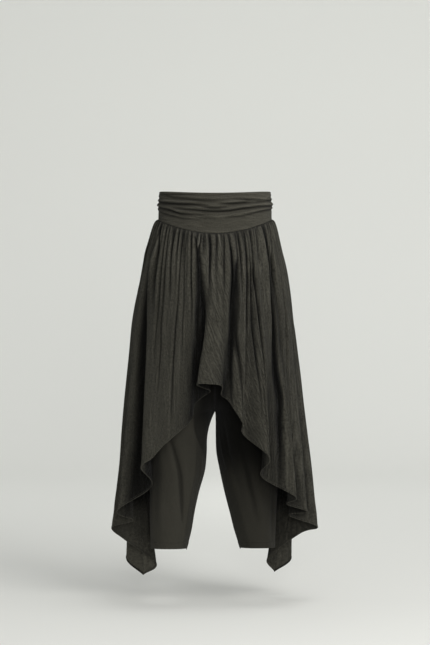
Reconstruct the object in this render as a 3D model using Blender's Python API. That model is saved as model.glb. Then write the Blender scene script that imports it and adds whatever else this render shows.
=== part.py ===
# Harem pants with a gathered overskirt, filled out with no wearer.
#
# The origin is the centre of the waist, 36 mm below the rim at the side seams. +X is the
# viewer's right, +Y points away from the viewer (the front faces -Y) and +Z is up.
# Angles go round the waist in degrees: 0 at the centre front, 90 at the right side,
# 180 at the centre back and -90 at the left side.
# Lengths are written in millimetres and turned into metres when a mesh is made.

import bpy
import numpy as np

MM = 0.001

# Waistband
WAIST_HALF_WIDTH = 137.0        # inside of the band, centre to side
WAIST_HALF_DEPTH = 101.0        # inside of the band, centre to front
RIM_AT_SIDE = 36.0              # height of the rim at the side seams
RIM_FRONT_DIP = 9.0             # the rim hangs this much lower at the centre front
SEAM_AT_SIDE = -32.0            # height of the lower seam at the side seams
SEAM_DIP = 38.0                 # the lower seam hangs this much lower at the centre
BAND_WALL = 2.6                 # plain part of the band, two layers of cloth
BAND_EDGE_WALL = 4.4            # at the lower seam, where both layers below are sewn in
BAND_COLUMNS = 22
BAND_YOKE = 3.4                 # the smooth yoke below the folds
BAND_RIM_ROLL = 2.0             # height of the rim's rounded edge
YOKE_ROWS = ((0.25, BAND_YOKE), (0.8, BAND_YOKE), (1.0, BAND_EDGE_WALL))  # share down, out
BAND_VALLEY = 1.8               # between two folds
BAND_LEAN = 2.5                 # the band's lower edge stands this much wider than its rim

# Overskirt
HIP_HALF_WIDTH = 193.0          # section of the overskirt at the hip
HIP_HALF_DEPTH = 146.0
HIP_HEIGHT = -245.0
LOWEST_FLARE = -788.0           # height where the sides stand widest
FLARE_POWER = 0.62              # below 1: the cloth springs out just under the band
SKIRT_WALL = 1.2
SKIRT_COLUMNS = 76              # ridges and valleys in each panel: 38 gathers
SKIRT_ROWS = 14
SKIRT_ROW_POWER = 1.35          # rows lie closer together near the band
GATHER_AT_SEAM = 0.8            # half height of a gather where it is sewn in
GATHER_FULL = 3.8               # half height of a gather just below the band
GATHER_FULL_DROP = 34.0         # the gathers are full this far below the seam
GATHER_FADE = 330.0             # and fade over this length further down
CORNER_CALM = 1.5               # gathers grow from nothing within this many columns of a seam
SOFT_FOLD = 3.5                 # half height of the broad soft folds at the hip
SOFT_FOLD_GROWS = 160.0         # they grow over this length below the seam
SOFT_FOLD_FADES = 500.0         # and fade over this length
SOFT_FOLD_WAVES = ((1.31, 0.6, 1.0), (0.83, 2.1, 0.7))   # turn a column, start, share
GATHER_SUNK = 0.8               # near the band the gathers lie mostly inside the fold lines
SEAM_GAP = 0.3                  # between any two pieces that are sewn together
EDGE_TUCK = 0.2                 # layers stay this far inside the band's lower edge
SHARPEST_TURN = 0.28            # cosine of half the sharpest fold that keeps its full wall

# Trousers
LEG_WALL = 1.2
LEG_COLUMNS = 10
CROTCH_ROUND = 12.0             # the two legs run into each other with this roundness
LEG_SPRING = 70.0               # the trousers reach their full size this far below the seam

CLOTH_DARK = (0.040, 0.037, 0.030)
CLOTH_LEG = (0.030, 0.029, 0.025)

# Valleys between the waistband's draped folds, from the top: their height at the left side,
# at the centre and at the right side, and how far the fold below each one stands out at
# the sides and at the centre.
BAND_FOLD_COLUMNS = ("left", "centre", "right", "out_at_side", "out_at_centre")
BAND_FOLDS = (
    (27.0, 10.0, 22.0, 4.6, 4.4),
    (11.5, -6.0, 13.0, 6.8, 4.8),
    (2.0, -16.0, 4.0, 7.6, 4.4),
    (-7.0, -27.0, -6.0, 6.2, 4.0),
    (-16.0, -37.0, -16.0, 4.2, 3.4),
)
FOLD_SAG_POWER = 1.6            # how the valleys rise towards the sides
FOLD_FULL_AT = 0.6              # a fold is fullest this far down, and then tucks under

# Fold lines of the overskirt, from one side corner round to the other. Each runs from an
# angle at the band, through an angle at the hip, to a point on the hem.
FOLD_COLUMNS = ("waist_angle", "hip_angle", "hem_x", "hem_y", "hem_z")
OVERSKIRT_FOLDS = (
    (-90.0, -104.0, -179.3, 82.0, -914.3),     # left corner
    (-86.0, -98.0, -149.6, 68.0, -880.0),
    (-83.0, -94.0, -224.0, 26.0, -818.0),
    (-80.0, -90.0, -254.1, 0.0, -788.4),
    (-75.5, -82.0, -200.1, -35.0, -764.1),
    (-71.0, -70.1, -238.9, -60.0, -739.3),
    (-66.0, -58.8, -154.2, -98.0, -678.5),
    (-60.5, -52.6, -176.4, -130.0, -630.0),
    (-57.0, -49.4, -170.0, -138.0, -618.0),
    (-51.5, -44.4, -150.5, -148.0, -605.0),
    (-45.5, -38.9, -124.0, -155.0, -575.5),
    (-38.0, -31.9, -105.9, -158.0, -559.5),
    (-29.0, -23.6, -79.0, -151.0, -536.5),
    (-23.5, -18.5, -59.5, -138.0, -519.0),
    (-21.0, -16.2, -51.2, -129.0, -503.8),
    (-15.5, -11.0, -20.0, -112.0, -450.0),
    (-9.5, -7.0, -42.5, -160.0, -431.2),
    (-1.0, -0.7, -16.4, -170.0, -427.3),       # centre front
    (8.5, 8.2, 18.4, -148.0, -437.3),
    (13.0, 12.0, 16.0, -137.0, -456.2),
    (18.0, 16.0, 31.7, -141.0, -470.0),
    (23.0, 20.1, 65.3, -152.0, -521.3),
    (28.0, 24.1, 62.5, -134.0, -540.1),
    (43.0, 35.4, 130.0, -140.0, -606.9),
    (54.5, 47.0, 115.4, -108.0, -655.7),
    (62.0, 54.5, 195.4, -105.0, -703.8),
    (66.5, 60.5, 173.0, -82.0, -719.5),
    (71.0, 68.0, 223.6, -62.0, -739.8),
    (75.5, 80.0, 179.5, -38.0, -751.4),
    (80.0, 89.0, 252.1, 0.0, -786.0),
    (83.0, 93.5, 212.0, 24.0, -802.0),
    (86.0, 98.0, 135.9, 68.0, -866.0),
    (90.0, 104.0, 148.3, 82.0, -906.3),        # right corner
    (94.0, 109.0, 191.9, 96.0, -874.8),
    (99.0, 116.0, 148.0, 118.0, -812.0),
    (104.5, 122.0, 196.0, 132.0, -764.0),
    (110.0, 128.0, 142.0, 142.0, -700.0),
    (117.0, 133.0, 170.0, 166.0, -640.0),
    (126.0, 139.0, 112.0, 140.0, -596.0),
    (134.5, 147.0, 116.0, 170.0, -556.0),
    (143.0, 154.0, 72.0, 134.0, -520.0),
    (152.0, 161.0, 74.0, 168.0, -484.0),
    (161.0, 167.0, 34.0, 132.0, -456.0),
    (170.0, 173.5, 32.0, 167.0, -438.0),
    (179.0, 179.5, 2.0, 138.0, -432.0),        # centre back
    (188.0, 186.5, -8.0, 168.0, -437.0),
    (197.0, 193.0, -44.0, 136.0, -462.0),
    (206.0, 199.5, -46.0, 166.0, -494.0),
    (217.0, 208.0, -84.0, 134.0, -532.0),
    (229.0, 217.0, -118.0, 162.0, -572.0),
    (241.0, 226.0, -168.0, 158.0, -632.0),
    (248.0, 231.0, -142.0, 142.0, -690.0),
    (254.5, 238.0, -204.0, 130.0, -748.0),
    (260.5, 244.0, -156.0, 114.0, -806.0),
    (266.0, 251.0, -222.3, 96.0, -874.8),
    (270.0, 256.0, -179.3, 82.0, -914.3),      # left corner
)

# The sides hang closer than plain fold lines would. At each drop below the band: the share
# of their spread from the band that the left and the right side keep.
SIDE_EASE_COLUMNS = ("drop", "left", "right")
SIDE_EASE = (
    (0.0, 0.74, 0.54),
    (45.0, 0.77, 0.58),
    (75.0, 0.87, 0.67),
    (105.0, 0.92, 0.77),
    (165.0, 1.03, 0.88),
    (225.0, 1.07, 0.94),
    (340.0, 1.03, 0.94),
    (460.0, 1.01, 0.95),
    (580.0, 0.97, 0.98),
    (760.0, 1.0, 1.0),
    (900.0, 1.0, 1.0),
)
SIDE_REACH = 6.0                # above 1: the ease stays close to the sides

# Sections of a trouser leg: height, how far the outer and the inner side stand from the
# garment's centre line, and the half depth. An inner side below 0 means that the two legs
# are still one hollow there, and it is 0 at the crotch.
LEG_SECTION_COLUMNS = ("height", "outer", "inner", "half_depth")
CROTCH_HEIGHT = -500.0
LEG_SECTIONS = {
    "left": (
        (-20.0, 142.0, -142.0, 106.0),
        (-70.0, 147.0, -147.0, 108.5),
        (-150.0, 156.0, -155.0, 113.0),
        (-245.0, 167.0, -157.0, 119.0),
        (-340.0, 171.0, -128.0, 118.0),
        (-420.0, 170.0, -70.0, 112.0),
        (CROTCH_HEIGHT, 167.0, 0.0, 101.0),
        (-520.0, 166.0, 9.0, 98.0),
        (-560.0, 164.0, 19.0, 91.0),
        (-600.0, 162.5, 20.5, 83.0),
        (-640.0, 161.0, 24.0, 76.0),
        (-700.0, 160.5, 40.0, 67.0),
        (-750.0, 160.0, 51.0, 60.0),
        (-794.0, 158.5, 58.5, 54.0),
        (-836.0, 156.0, 70.0, 49.0),
    ),
    "right": (
        (-20.0, 142.0, -142.0, 106.0),
        (-70.0, 147.0, -147.0, 108.5),
        (-150.0, 156.0, -155.0, 113.0),
        (-245.0, 167.0, -157.0, 119.0),
        (-340.0, 170.0, -128.0, 118.0),
        (-420.0, 168.0, -70.0, 112.0),
        (CROTCH_HEIGHT, 163.0, 0.0, 101.0),
        (-520.0, 161.5, 1.5, 98.0),
        (-560.0, 158.0, 1.8, 91.0),
        (-600.0, 156.0, 3.5, 83.0),
        (-640.0, 154.0, 11.0, 76.0),
        (-700.0, 152.0, 24.0, 67.0),
        (-750.0, 149.5, 37.0, 60.0),
        (-790.0, 148.0, 47.0, 54.0),
        (-834.0, 146.0, 62.0, 49.0),
    ),
}
# Heights of the trousers' rows below the part that follows the band's seam
LEG_ROW_HEIGHTS = (-150.0, -200.0, -245.0, -300.0, -350.0, -400.0, -440.0, -468.0, -488.0,
                   CROTCH_HEIGHT, -520.0, -560.0, -600.0, -650.0, -700.0, -750.0, -794.0)
LEG_TOP_ROWS = 3


def clear_scene():
    for old in list(bpy.data.objects):
        bpy.data.objects.remove(old, do_unlink=True)


def unit(vectors):
    length = np.linalg.norm(vectors, axis=-1, keepdims=True)
    return vectors / np.maximum(length, 1e-9)


def smooth_through(knots, values, at):
    """Cubic curve through a table's values, with the slope at each knot taken from its
    two neighbours, read at the places in `at`."""
    knots = np.asarray(knots, float)
    values = np.asarray(values, float)
    steps = np.diff(knots)
    chords = np.diff(values) / steps
    slopes = np.empty_like(values)
    slopes[0] = chords[0]
    slopes[-1] = chords[-1]
    slopes[1:-1] = (chords[:-1] * steps[1:] + chords[1:] * steps[:-1]) / (steps[:-1] + steps[1:])
    which = np.clip(np.searchsorted(knots, at, side="right") - 1, 0, len(steps) - 1)
    width = steps[which]
    s = (at - knots[which]) / width
    start_share = (1 + 2 * s) * (1 - s) ** 2
    end_share = s * s * (3 - 2 * s)
    return (start_share * values[which] + end_share * values[which + 1]
            + width * s * (1 - s) ** 2 * slopes[which]
            + width * s * s * (s - 1) * slopes[which + 1])


def side_share(angle):
    """1 at the side seams, 0 at the centre front and back."""
    return np.sin(np.radians(angle)) ** 2


def rim_height(angle):
    front = np.maximum(np.cos(np.radians(angle)), 0.0) ** 2
    return RIM_AT_SIDE - RIM_FRONT_DIP * front


def seam_height(angle):
    return SEAM_AT_SIDE - SEAM_DIP * (1 - side_share(angle))


def oval(angle, half_width, half_depth):
    turn = np.radians(angle)
    return np.stack([half_width * np.sin(turn), -half_depth * np.cos(turn)], axis=-1)


def outward(points):
    """Direction square to a grid of points (rows down the cloth, columns round it), and
    how much further a wall's faces have to move at a fold to keep the wall's thickness."""
    def tangents(grid):
        steps = unit(np.diff(grid, axis=1))
        before = np.concatenate([steps[:, :1], steps], axis=1)
        after = np.concatenate([steps, steps[:, -1:]], axis=1)
        turn = np.sqrt(np.clip((1 + np.sum(before * after, axis=-1)) / 2, 0.0, 1.0))
        return unit(before + after), turn

    across, turn_across = tangents(points)
    down, turn_down = tangents(points.transpose(1, 0, 2))
    down = down.transpose(1, 0, 2)
    stretch = 1 / np.clip(turn_across * turn_down.T, SHARPEST_TURN, 1.0)
    return unit(np.cross(down, across)), stretch[..., None]


def outward_ring(points):
    """The same for a closed ring, whose first and last columns are one."""
    wrapped = np.concatenate([points[:, -2:-1], points, points[:, 1:2]], axis=1)
    normal, stretch = outward(wrapped)
    return normal[:, 1:-1], stretch[:, 1:-1]


def wall_object(name, outer, inner, material, collection):
    """A closed wall between two grids of points, each [rows, columns, 3] in millimetres."""
    rows, columns = outer.shape[:2]
    count = rows * columns
    points = np.concatenate([outer.reshape(-1, 3), inner.reshape(-1, 3)]) * MM
    index = np.arange(count).reshape(rows, columns)

    # Both sides of the wall are split along the same diagonals, so that a twisted face
    # keeps its thickness, and so are the rims of two pieces that meet at a seam
    upper_left, lower_left = index[:-1, :-1].ravel(), index[1:, :-1].ravel()
    upper_right, lower_right = index[:-1, 1:].ravel(), index[1:, 1:].ravel()
    face = np.concatenate([np.stack([upper_left, lower_left, lower_right], axis=-1),
                           np.stack([upper_left, lower_right, upper_right], axis=-1)])
    back = face[:, ::-1] + count
    loop = np.concatenate([index[0, :-1], index[:-1, -1], index[-1, :0:-1], index[:0:-1, 0]])
    after = np.roll(loop, -1)
    rising = loop < after
    first_corner = np.where(rising, after + count, loop + count)
    second_corner = np.where(rising, loop, after)
    rim = np.concatenate([np.stack([loop, after, first_corner], axis=-1),
                          np.stack([second_corner, after + count, loop + count], axis=-1)])
    faces = np.concatenate([face, back, rim])
    mesh = bpy.data.meshes.new(name)
    mesh.from_pydata(points.tolist(), [], faces.tolist())
    mesh.validate()
    mesh.shade_smooth()
    mesh.materials.append(material)
    piece = bpy.data.objects.new(name, mesh)
    collection.objects.link(piece)
    return piece


def cloth_material(name, colour, roughness):
    material = bpy.data.materials.new(name)
    material.use_nodes = True
    shader = material.node_tree.nodes["Principled BSDF"]
    shader.inputs["Base Color"].default_value = (*colour, 1.0)
    shader.inputs["Roughness"].default_value = roughness
    shader.inputs["Metallic"].default_value = 0.0
    return material


def waistband(name, first_angle, last_angle, collection):
    """A band with a plain inside. Its outside has draped folds in the upper part, which
    sag between the side seams, and a smooth yoke below them."""
    table = dict(zip(BAND_FOLD_COLUMNS, np.array(BAND_FOLDS).T))
    half_gap = np.degrees(SEAM_GAP / 2 / WAIST_HALF_DEPTH)
    angle = np.linspace(first_angle + half_gap, last_angle - half_gap, BAND_COLUMNS + 1)
    across = np.sin(np.radians(angle))
    to_side = np.abs(across) ** FOLD_SAG_POWER
    to_right = (1 + across) / 2
    side = (table["left"][:, None] * (1 - to_right) + table["right"][:, None] * to_right)
    centre = table["centre"][:, None]
    valley = centre + (side - centre) * to_side
    out = (table["out_at_centre"][:, None] * (1 - to_side)
           + table["out_at_side"][:, None] * to_side)
    top = rim_height(angle)
    bottom = seam_height(angle)

    heights = [top, top - BAND_RIM_ROLL]
    stands = [np.full(angle.shape, BAND_VALLEY), np.full(angle.shape, BAND_WALL)]
    for this, following, fold_out in zip(valley[:-1], valley[1:], out):
        heights += [this, this + (following - this) * FOLD_FULL_AT]
        stands += [np.full(angle.shape, BAND_VALLEY), fold_out]
    heights.append(valley[-1])
    stands.append(np.full(angle.shape, BAND_VALLEY))
    for share, stand in YOKE_ROWS:
        heights.append(valley[-1] + (bottom - valley[-1]) * share)
        stands.append(np.full(angle.shape, stand))
    z = np.array(heights)
    stand = np.array(stands)
    lean = BAND_LEAN * (top - z) / (top - bottom)

    inside = oval(angle, WAIST_HALF_WIDTH, WAIST_HALF_DEPTH)[None]
    outwards = unit(oval(angle, WAIST_HALF_DEPTH, WAIST_HALF_WIDTH))[None]
    inner = np.concatenate([inside + outwards * lean[..., None], z[..., None]], axis=-1)
    outer = np.concatenate([inside + outwards * (lean + stand)[..., None], z[..., None]],
                           axis=-1)
    material = cloth_material(name + "_cloth", CLOTH_DARK, 0.9)
    return wall_object(name, outer, inner, material, collection)


def overskirt(collection):
    """Both gathered panels, worked out as one ring and parted at the side corners. Each fold
    line leaves the band at its angle, passes the hip oval and ends on the hem, and the cloth
    between two fold lines is a smooth curve. Ridges and valleys of the gathers ride on it,
    full just under the band and fading lower down."""
    rows = np.array(OVERSKIRT_FOLDS)
    first = OVERSKIRT_FOLDS[0][0]
    turn_back = np.zeros(rows.shape[1])
    turn_back[:2] = 360.0
    ring = np.concatenate([rows[-2:-1] - turn_back, rows, rows[1:2] + turn_back])
    ring = dict(zip(FOLD_COLUMNS, ring.T))

    # Columns: a ridge or a valley every half gather, and one on each side corner
    halves = np.arange(SKIRT_COLUMNS) + 0.5
    steps = np.concatenate([[0.0], halves, [SKIRT_COLUMNS], halves + SKIRT_COLUMNS,
                            [2 * SKIRT_COLUMNS]])
    angle = first + 180.0 * steps / SKIRT_COLUMNS
    hip_angle = smooth_through(ring["waist_angle"], ring["hip_angle"], angle)

    # The hem is one smooth curve on each panel, and pointed at the side corners
    hem = np.empty((len(angle), 3))
    for panel in (rows[:, 0] <= first + 180.0, rows[:, 0] >= first + 180.0):
        table = dict(zip(FOLD_COLUMNS, rows[panel].T))
        here = (angle >= rows[panel][0, 0]) & (angle <= rows[panel][-1, 0])
        hem[here] = np.stack([smooth_through(table["waist_angle"], table[key], angle[here])
                              for key in ("hem_x", "hem_y", "hem_z")], axis=-1)

    v = (np.linspace(0.0, 1.0, SKIRT_ROWS + 1) ** SKIRT_ROW_POWER)[:, None]
    top = seam_height(angle)[None, :] - SEAM_GAP
    z = top + (hem[None, :, 2] - top) * v
    drop = top - z

    def flare(height):
        share = np.clip((top - height) / (top - LOWEST_FLARE), 0.0, None)
        return share ** FLARE_POWER

    grown = (flare(z) / flare(hem[None, :, 2]))[..., None]
    at_hip = (flare(np.full_like(top, HIP_HEIGHT)) / flare(hem[None, :, 2]))[..., None]
    sewn_in = BAND_LEAN + BAND_EDGE_WALL - SKIRT_WALL / 2 - GATHER_AT_SEAM - EDGE_TUCK
    start = oval(angle, WAIST_HALF_WIDTH + sewn_in, WAIST_HALF_DEPTH + sewn_in)[None]
    hip = oval(hip_angle, HIP_HALF_WIDTH, HIP_HALF_DEPTH)[None]
    end = hem[None, :, :2]
    bend = (hip - start - (end - start) * at_hip) / (at_hip * (1 - at_hip))
    flat = start + (end - start) * grown + bend * grown * (1 - grown)
    ease = dict(zip(SIDE_EASE_COLUMNS, np.array(SIDE_EASE).T))
    left = smooth_through(ease["drop"], ease["left"], drop)
    right = smooth_through(ease["drop"], ease["right"], drop)
    across = np.sin(np.radians(angle))
    kept = 1 + (np.where(across < 0, left, right) - 1) * np.abs(across) ** SIDE_REACH
    flat[..., 0] = start[..., 0] + (flat[..., 0] - start[..., 0]) * kept

    points = np.concatenate([flat, z[..., None]], axis=-1)
    normal, _ = outward_ring(points)
    normal[..., 2] = 0.0
    normal = unit(normal)
    rise = np.clip(drop / GATHER_FULL_DROP, 0.0, 1.0)
    fade = np.exp(-np.maximum(drop - GATHER_FULL_DROP, 0.0) / GATHER_FADE)
    height = GATHER_AT_SEAM + (GATHER_FULL * fade - GATHER_AT_SEAM) * rise
    from_corner = np.abs((steps + SKIRT_COLUMNS / 2) % SKIRT_COLUMNS - SKIRT_COLUMNS / 2)
    calm = 1 - np.exp(-(from_corner / CORNER_CALM) ** 2)
    wave = np.sin(np.pi * steps) * calm
    sunk = (GATHER_SUNK * height * rise * calm) * (1 - v) ** 3
    broad = sum(share * np.sin(steps * turn + start)
                for turn, start, share in SOFT_FOLD_WAVES)
    broad = broad * np.sqrt(np.abs(np.sin(np.pi * steps / SKIRT_COLUMNS)))
    soft = SOFT_FOLD * np.clip(drop / SOFT_FOLD_GROWS, 0.0, 1.0)
    soft = soft * np.exp(-drop / SOFT_FOLD_FADES)
    ripple = (height * wave[None, :] + soft * broad[None, :]) * (1 - v ** 2) - sunk
    points = points + normal * ripple[..., None]

    normal, stretch = outward_ring(points)
    normal[0, :, 2] = 0.0
    half_wall = unit(normal) * stretch * SKIRT_WALL / 2
    along = unit(np.roll(points[:, :-1], -1, axis=1) - np.roll(points[:, :-1], 1, axis=1))
    along = np.concatenate([along, along[:, :1]], axis=1)
    corner = SKIRT_COLUMNS + 1
    for name, columns in (("overskirt_front", slice(0, corner + 1)),
                          ("overskirt_back", slice(corner, 2 * corner + 1))):
        # Each panel stops half a seam gap short of the side corners
        panel = points[:, columns].copy()
        panel[:, 0] += along[:, columns][:, 0] * SEAM_GAP / 2
        panel[:, -1] -= along[:, columns][:, -1] * SEAM_GAP / 2
        wall = half_wall[:, columns]
        material = cloth_material(name + "_cloth", CLOTH_DARK, 0.92)
        wall_object(name, panel + wall, panel - wall, material, collection)


def trouser_panel(name, side, is_front, collection):
    """One quarter of the trousers, from the side seam round to the centre seam and, below
    the crotch, to the inseam. A leg is an oval at each height. Above the crotch the two
    ovals run into each other, with a round saddle between them, and the panel stops at
    the plane between the legs."""
    table = dict(zip(LEG_SECTION_COLUMNS, np.array(LEG_SECTIONS[side]).T))
    share = np.linspace(0.0, 1.0, LEG_COLUMNS + 1)
    seam = seam_height(90.0 * (1 - share)) - SEAM_GAP
    top_rows = np.linspace(0.0, 1.0, LEG_TOP_ROWS, endpoint=False)[:, None]
    top = seam + (LEG_ROW_HEIGHTS[0] - seam) * top_rows
    heights = np.array(LEG_ROW_HEIGHTS + (table["height"][-1],))[:, None]
    z = np.concatenate([top, np.repeat(heights, LEG_COLUMNS + 1, axis=1)])
    outer = smooth_through(-table["height"], table["outer"], -z)
    inner = smooth_through(-table["height"], table["inner"], -z)
    depth = smooth_through(-table["height"], table["half_depth"], -z)
    above = z[:, -1] > CROTCH_HEIGHT + 1
    at_crotch = np.abs(z[:, -1] - CROTCH_HEIGHT) < 1
    inner = np.where(above[:, None], inner + CROTCH_ROUND,
                     np.sqrt(np.maximum(inner, 0.0) ** 2 + CROTCH_ROUND ** 2))
    middle = (outer + inner) / 2
    half_width = (outer - inner) / 2
    meet = np.arccos(np.clip((CROTCH_ROUND - middle) / half_width, -1.0, 1.0))
    reach = middle + half_width * np.cos(meet * share)
    x = np.sqrt(np.maximum(reach ** 2 - CROTCH_ROUND ** 2, 0.0))
    y = -depth * np.sin(meet * share)

    # Just under the band the section grows out of the band's own oval
    sewn_in = BAND_LEAN + LEG_WALL / 2 + EDGE_TUCK
    at_band = oval(90.0 * (1 - share), WAIST_HALF_WIDTH + sewn_in, WAIST_HALF_DEPTH + sewn_in)
    near = 1 - (1 - np.clip((seam - z) / LEG_SPRING, 0.0, 1.0)) ** 2
    x = at_band[None, :, 0] * (1 - near) + x * near
    y = at_band[None, :, 1] * (1 - near) + y * near

    # Only the last column touches the plane between the legs
    x[:, 1:-1] = np.maximum(x[:, 1:-1], LEG_WALL)
    points = np.stack([x, y, z], axis=-1)
    normal, stretch = outward(points[:, ::-1])
    normal = normal[:, ::-1]
    stretch = stretch[:, ::-1]
    normal[0, :, 2] = 0.0
    normal[:, 0, 1] = 0.0
    normal[above, -1, 0] = 0.0
    normal[~above, -1, 1] = 0.0
    normal[at_crotch, -1] = (-0.7, 0.0, -0.7)
    normal = unit(normal)
    stretch[:, 0] = 1.0
    stretch[:, -1] = 1.0
    half_wall = normal * stretch * LEG_WALL / 2
    faces = []
    for grid in (points + half_wall, points - half_wall):
        grid[:, 0, 1] = -SEAM_GAP / 2
        grid[above, -1, 0] = SEAM_GAP / 2
        grid[~above, -1, 1] = -SEAM_GAP / 2
        grid[..., 0] = np.maximum(grid[..., 0], SEAM_GAP / 2)
        if side == "left":
            grid[..., 0] *= -1
        if not is_front:
            grid[..., 1] *= -1
        faces.append(grid)
    # Worked out for the front right leg, whose columns run right to left. One mirroring
    # turns that round, and the wall needs them left to right as its outside is seen.
    if (side == "right") == is_front:
        faces = [grid[:, ::-1] for grid in faces]
    material = cloth_material(name + "_cloth", CLOTH_LEG, 0.85)
    return wall_object(name, faces[0], faces[1], material, collection)


def build():
    clear_scene()
    collection = bpy.data.collections.new("harem_pants")
    bpy.context.scene.collection.children.link(collection)
    waistband("waistband_front", -90.0, 90.0, collection)
    waistband("waistband_back", 90.0, 270.0, collection)
    overskirt(collection)
    for side in ("left", "right"):
        trouser_panel("trouser_front_" + side, side, True, collection)
        trouser_panel("trouser_back_" + side, side, False, collection)


build()
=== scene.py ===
# The looks of the harem pants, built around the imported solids.
#
# Lengths are millimetres until a mesh is made. Angles go round the waist in degrees: 0 at the
# centre front, 90 at the right side, 180 at the centre back and -90 at the left side. Left and
# right are the viewer's, +Y points away from the viewer and +Z is up.

import bpy
import numpy as np
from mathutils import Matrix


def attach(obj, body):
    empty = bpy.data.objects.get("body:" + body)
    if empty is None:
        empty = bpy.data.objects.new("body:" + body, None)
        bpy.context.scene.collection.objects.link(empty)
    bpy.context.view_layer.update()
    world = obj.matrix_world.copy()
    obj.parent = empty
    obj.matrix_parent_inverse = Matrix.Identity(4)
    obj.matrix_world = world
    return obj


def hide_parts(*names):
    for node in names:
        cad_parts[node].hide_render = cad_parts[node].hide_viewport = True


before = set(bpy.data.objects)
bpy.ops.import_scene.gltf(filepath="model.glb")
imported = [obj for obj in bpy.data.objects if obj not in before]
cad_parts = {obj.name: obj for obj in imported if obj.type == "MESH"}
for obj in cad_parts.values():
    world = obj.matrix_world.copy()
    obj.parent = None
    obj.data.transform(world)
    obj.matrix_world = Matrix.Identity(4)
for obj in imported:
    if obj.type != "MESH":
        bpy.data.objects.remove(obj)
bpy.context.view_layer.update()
mm = 0.001


# Shapes shared by all the pieces

waist = {
    "halfWidth": 137.0,        # inside of the band, centre to side
    "halfDepth": 101.0,        # inside of the band, centre to front
    "rimAtSide": 36.0,         # height of the rim at the side seams
    "rimFrontDip": 9.0,        # the rim hangs this much lower at the centre front
    "seamAtSide": -32.0,       # height of the band's lower seam at the side seams
    "seamDip": 38.0,           # the lower seam hangs this much lower at the centre
    "bandLean": 2.5,           # the band's lower edge stands this much wider than its rim
    "seamGap": 0.3,            # between two pieces that are sewn together
}


def unitVectors(vectors):
    # Each vector divided by its own length
    length = np.linalg.norm(vectors, axis=-1, keepdims=True)
    return vectors / np.maximum(length, 1e-9)


def runAlong(points, axis=0):
    # Distance from the first point along a line of points, or along each line of a grid
    steps = np.linalg.norm(np.diff(points, axis=axis), axis=-1)
    start = np.zeros_like(np.take(steps, [0], axis=axis))
    return np.concatenate([start, np.cumsum(steps, axis=axis)], axis=axis)


def smoothThrough(knots, values, at):
    # Cubic curve through a table: on each step the two end values are blended with
    # (1 + 2s)(1 - s)^2 and s^2(3 - 2s), plus the slopes taken from the neighbouring knots
    knots = np.asarray(knots, float)
    values = np.asarray(values, float)
    steps = np.diff(knots)
    chords = np.diff(values) / steps
    slopes = np.empty_like(values)
    slopes[0] = chords[0]
    slopes[-1] = chords[-1]
    slopes[1:-1] = (chords[:-1] * steps[1:] + chords[1:] * steps[:-1]) / (steps[:-1] + steps[1:])
    which = np.clip(np.searchsorted(knots, at, side="right") - 1, 0, len(steps) - 1)
    width = steps[which]
    s = (at - knots[which]) / width
    startShare = (1 + 2 * s) * (1 - s) ** 2
    endShare = s * s * (3 - 2 * s)
    return (startShare * values[which] + endShare * values[which + 1]
            + width * s * (1 - s) ** 2 * slopes[which]
            + width * s * s * (s - 1) * slopes[which + 1])


def softStep(low, high, at):
    # 0 below low, 1 above high, and 3t^2 - 2t^3 between them
    t = np.clip((at - low) / (high - low), 0.0, 1.0)
    return t * t * (3 - 2 * t)


def softSpan(rise, fall, at):
    # 1 between two places: a soft step up over the first pair and one down over the second
    return softStep(*rise, at) * (1 - softStep(*fall, at))


def softNoise(across, down, seed):
    # Random numbers from -1 to 1 on the whole-number points of a plane, blended between the
    # four nearest ones with 3t^2 - 2t^3 each way
    table = np.random.default_rng(seed).uniform(-1.0, 1.0, (256, 256))
    across, down = np.broadcast_arrays(across, down)
    column = np.floor(across).astype(int)
    row = np.floor(down).astype(int)
    s = across - column
    t = down - row
    s = s * s * (3 - 2 * s)
    t = t * t * (3 - 2 * t)
    upper = table[column % 256, row % 256] * (1 - s) + table[(column + 1) % 256, row % 256] * s
    lower = (table[column % 256, (row + 1) % 256] * (1 - s)
             + table[(column + 1) % 256, (row + 1) % 256] * s)
    return upper * (1 - t) + lower * t


def oval(angle, halfWidth, halfDepth):
    # x = half width sin(angle), y = -half depth cos(angle)
    turn = np.radians(angle)
    return np.stack([halfWidth * np.sin(turn), -halfDepth * np.cos(turn)], axis=-1)


def rimHeight(angle):
    # Level round the back, and dipping by the cosine's square at the front
    front = np.maximum(np.cos(np.radians(angle)), 0.0) ** 2
    return waist["rimAtSide"] - waist["rimFrontDip"] * front


def seamHeight(angle):
    # Lower edge of the band, dipping by the cosine's square at the front and the back
    return waist["seamAtSide"] - waist["seamDip"] * np.cos(np.radians(angle)) ** 2


def sewnHeight(angle):
    # Upper edge of the cloth that is sewn under the band
    return seamHeight(angle) - waist["seamGap"]


def panelStart(isFront):
    # Angle at which a front or a back panel begins. It ends 180 degrees further on.
    return -90.0 if isFront else 90.0


def gridNormals(points):
    # Direction square to a grid whose rows run down the cloth and columns run left to right
    # as its outside is seen: the cross product of the steps down and across
    across = np.gradient(points, axis=1)
    down = np.gradient(points, axis=0)
    return unitVectors(np.cross(down, across))


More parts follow.
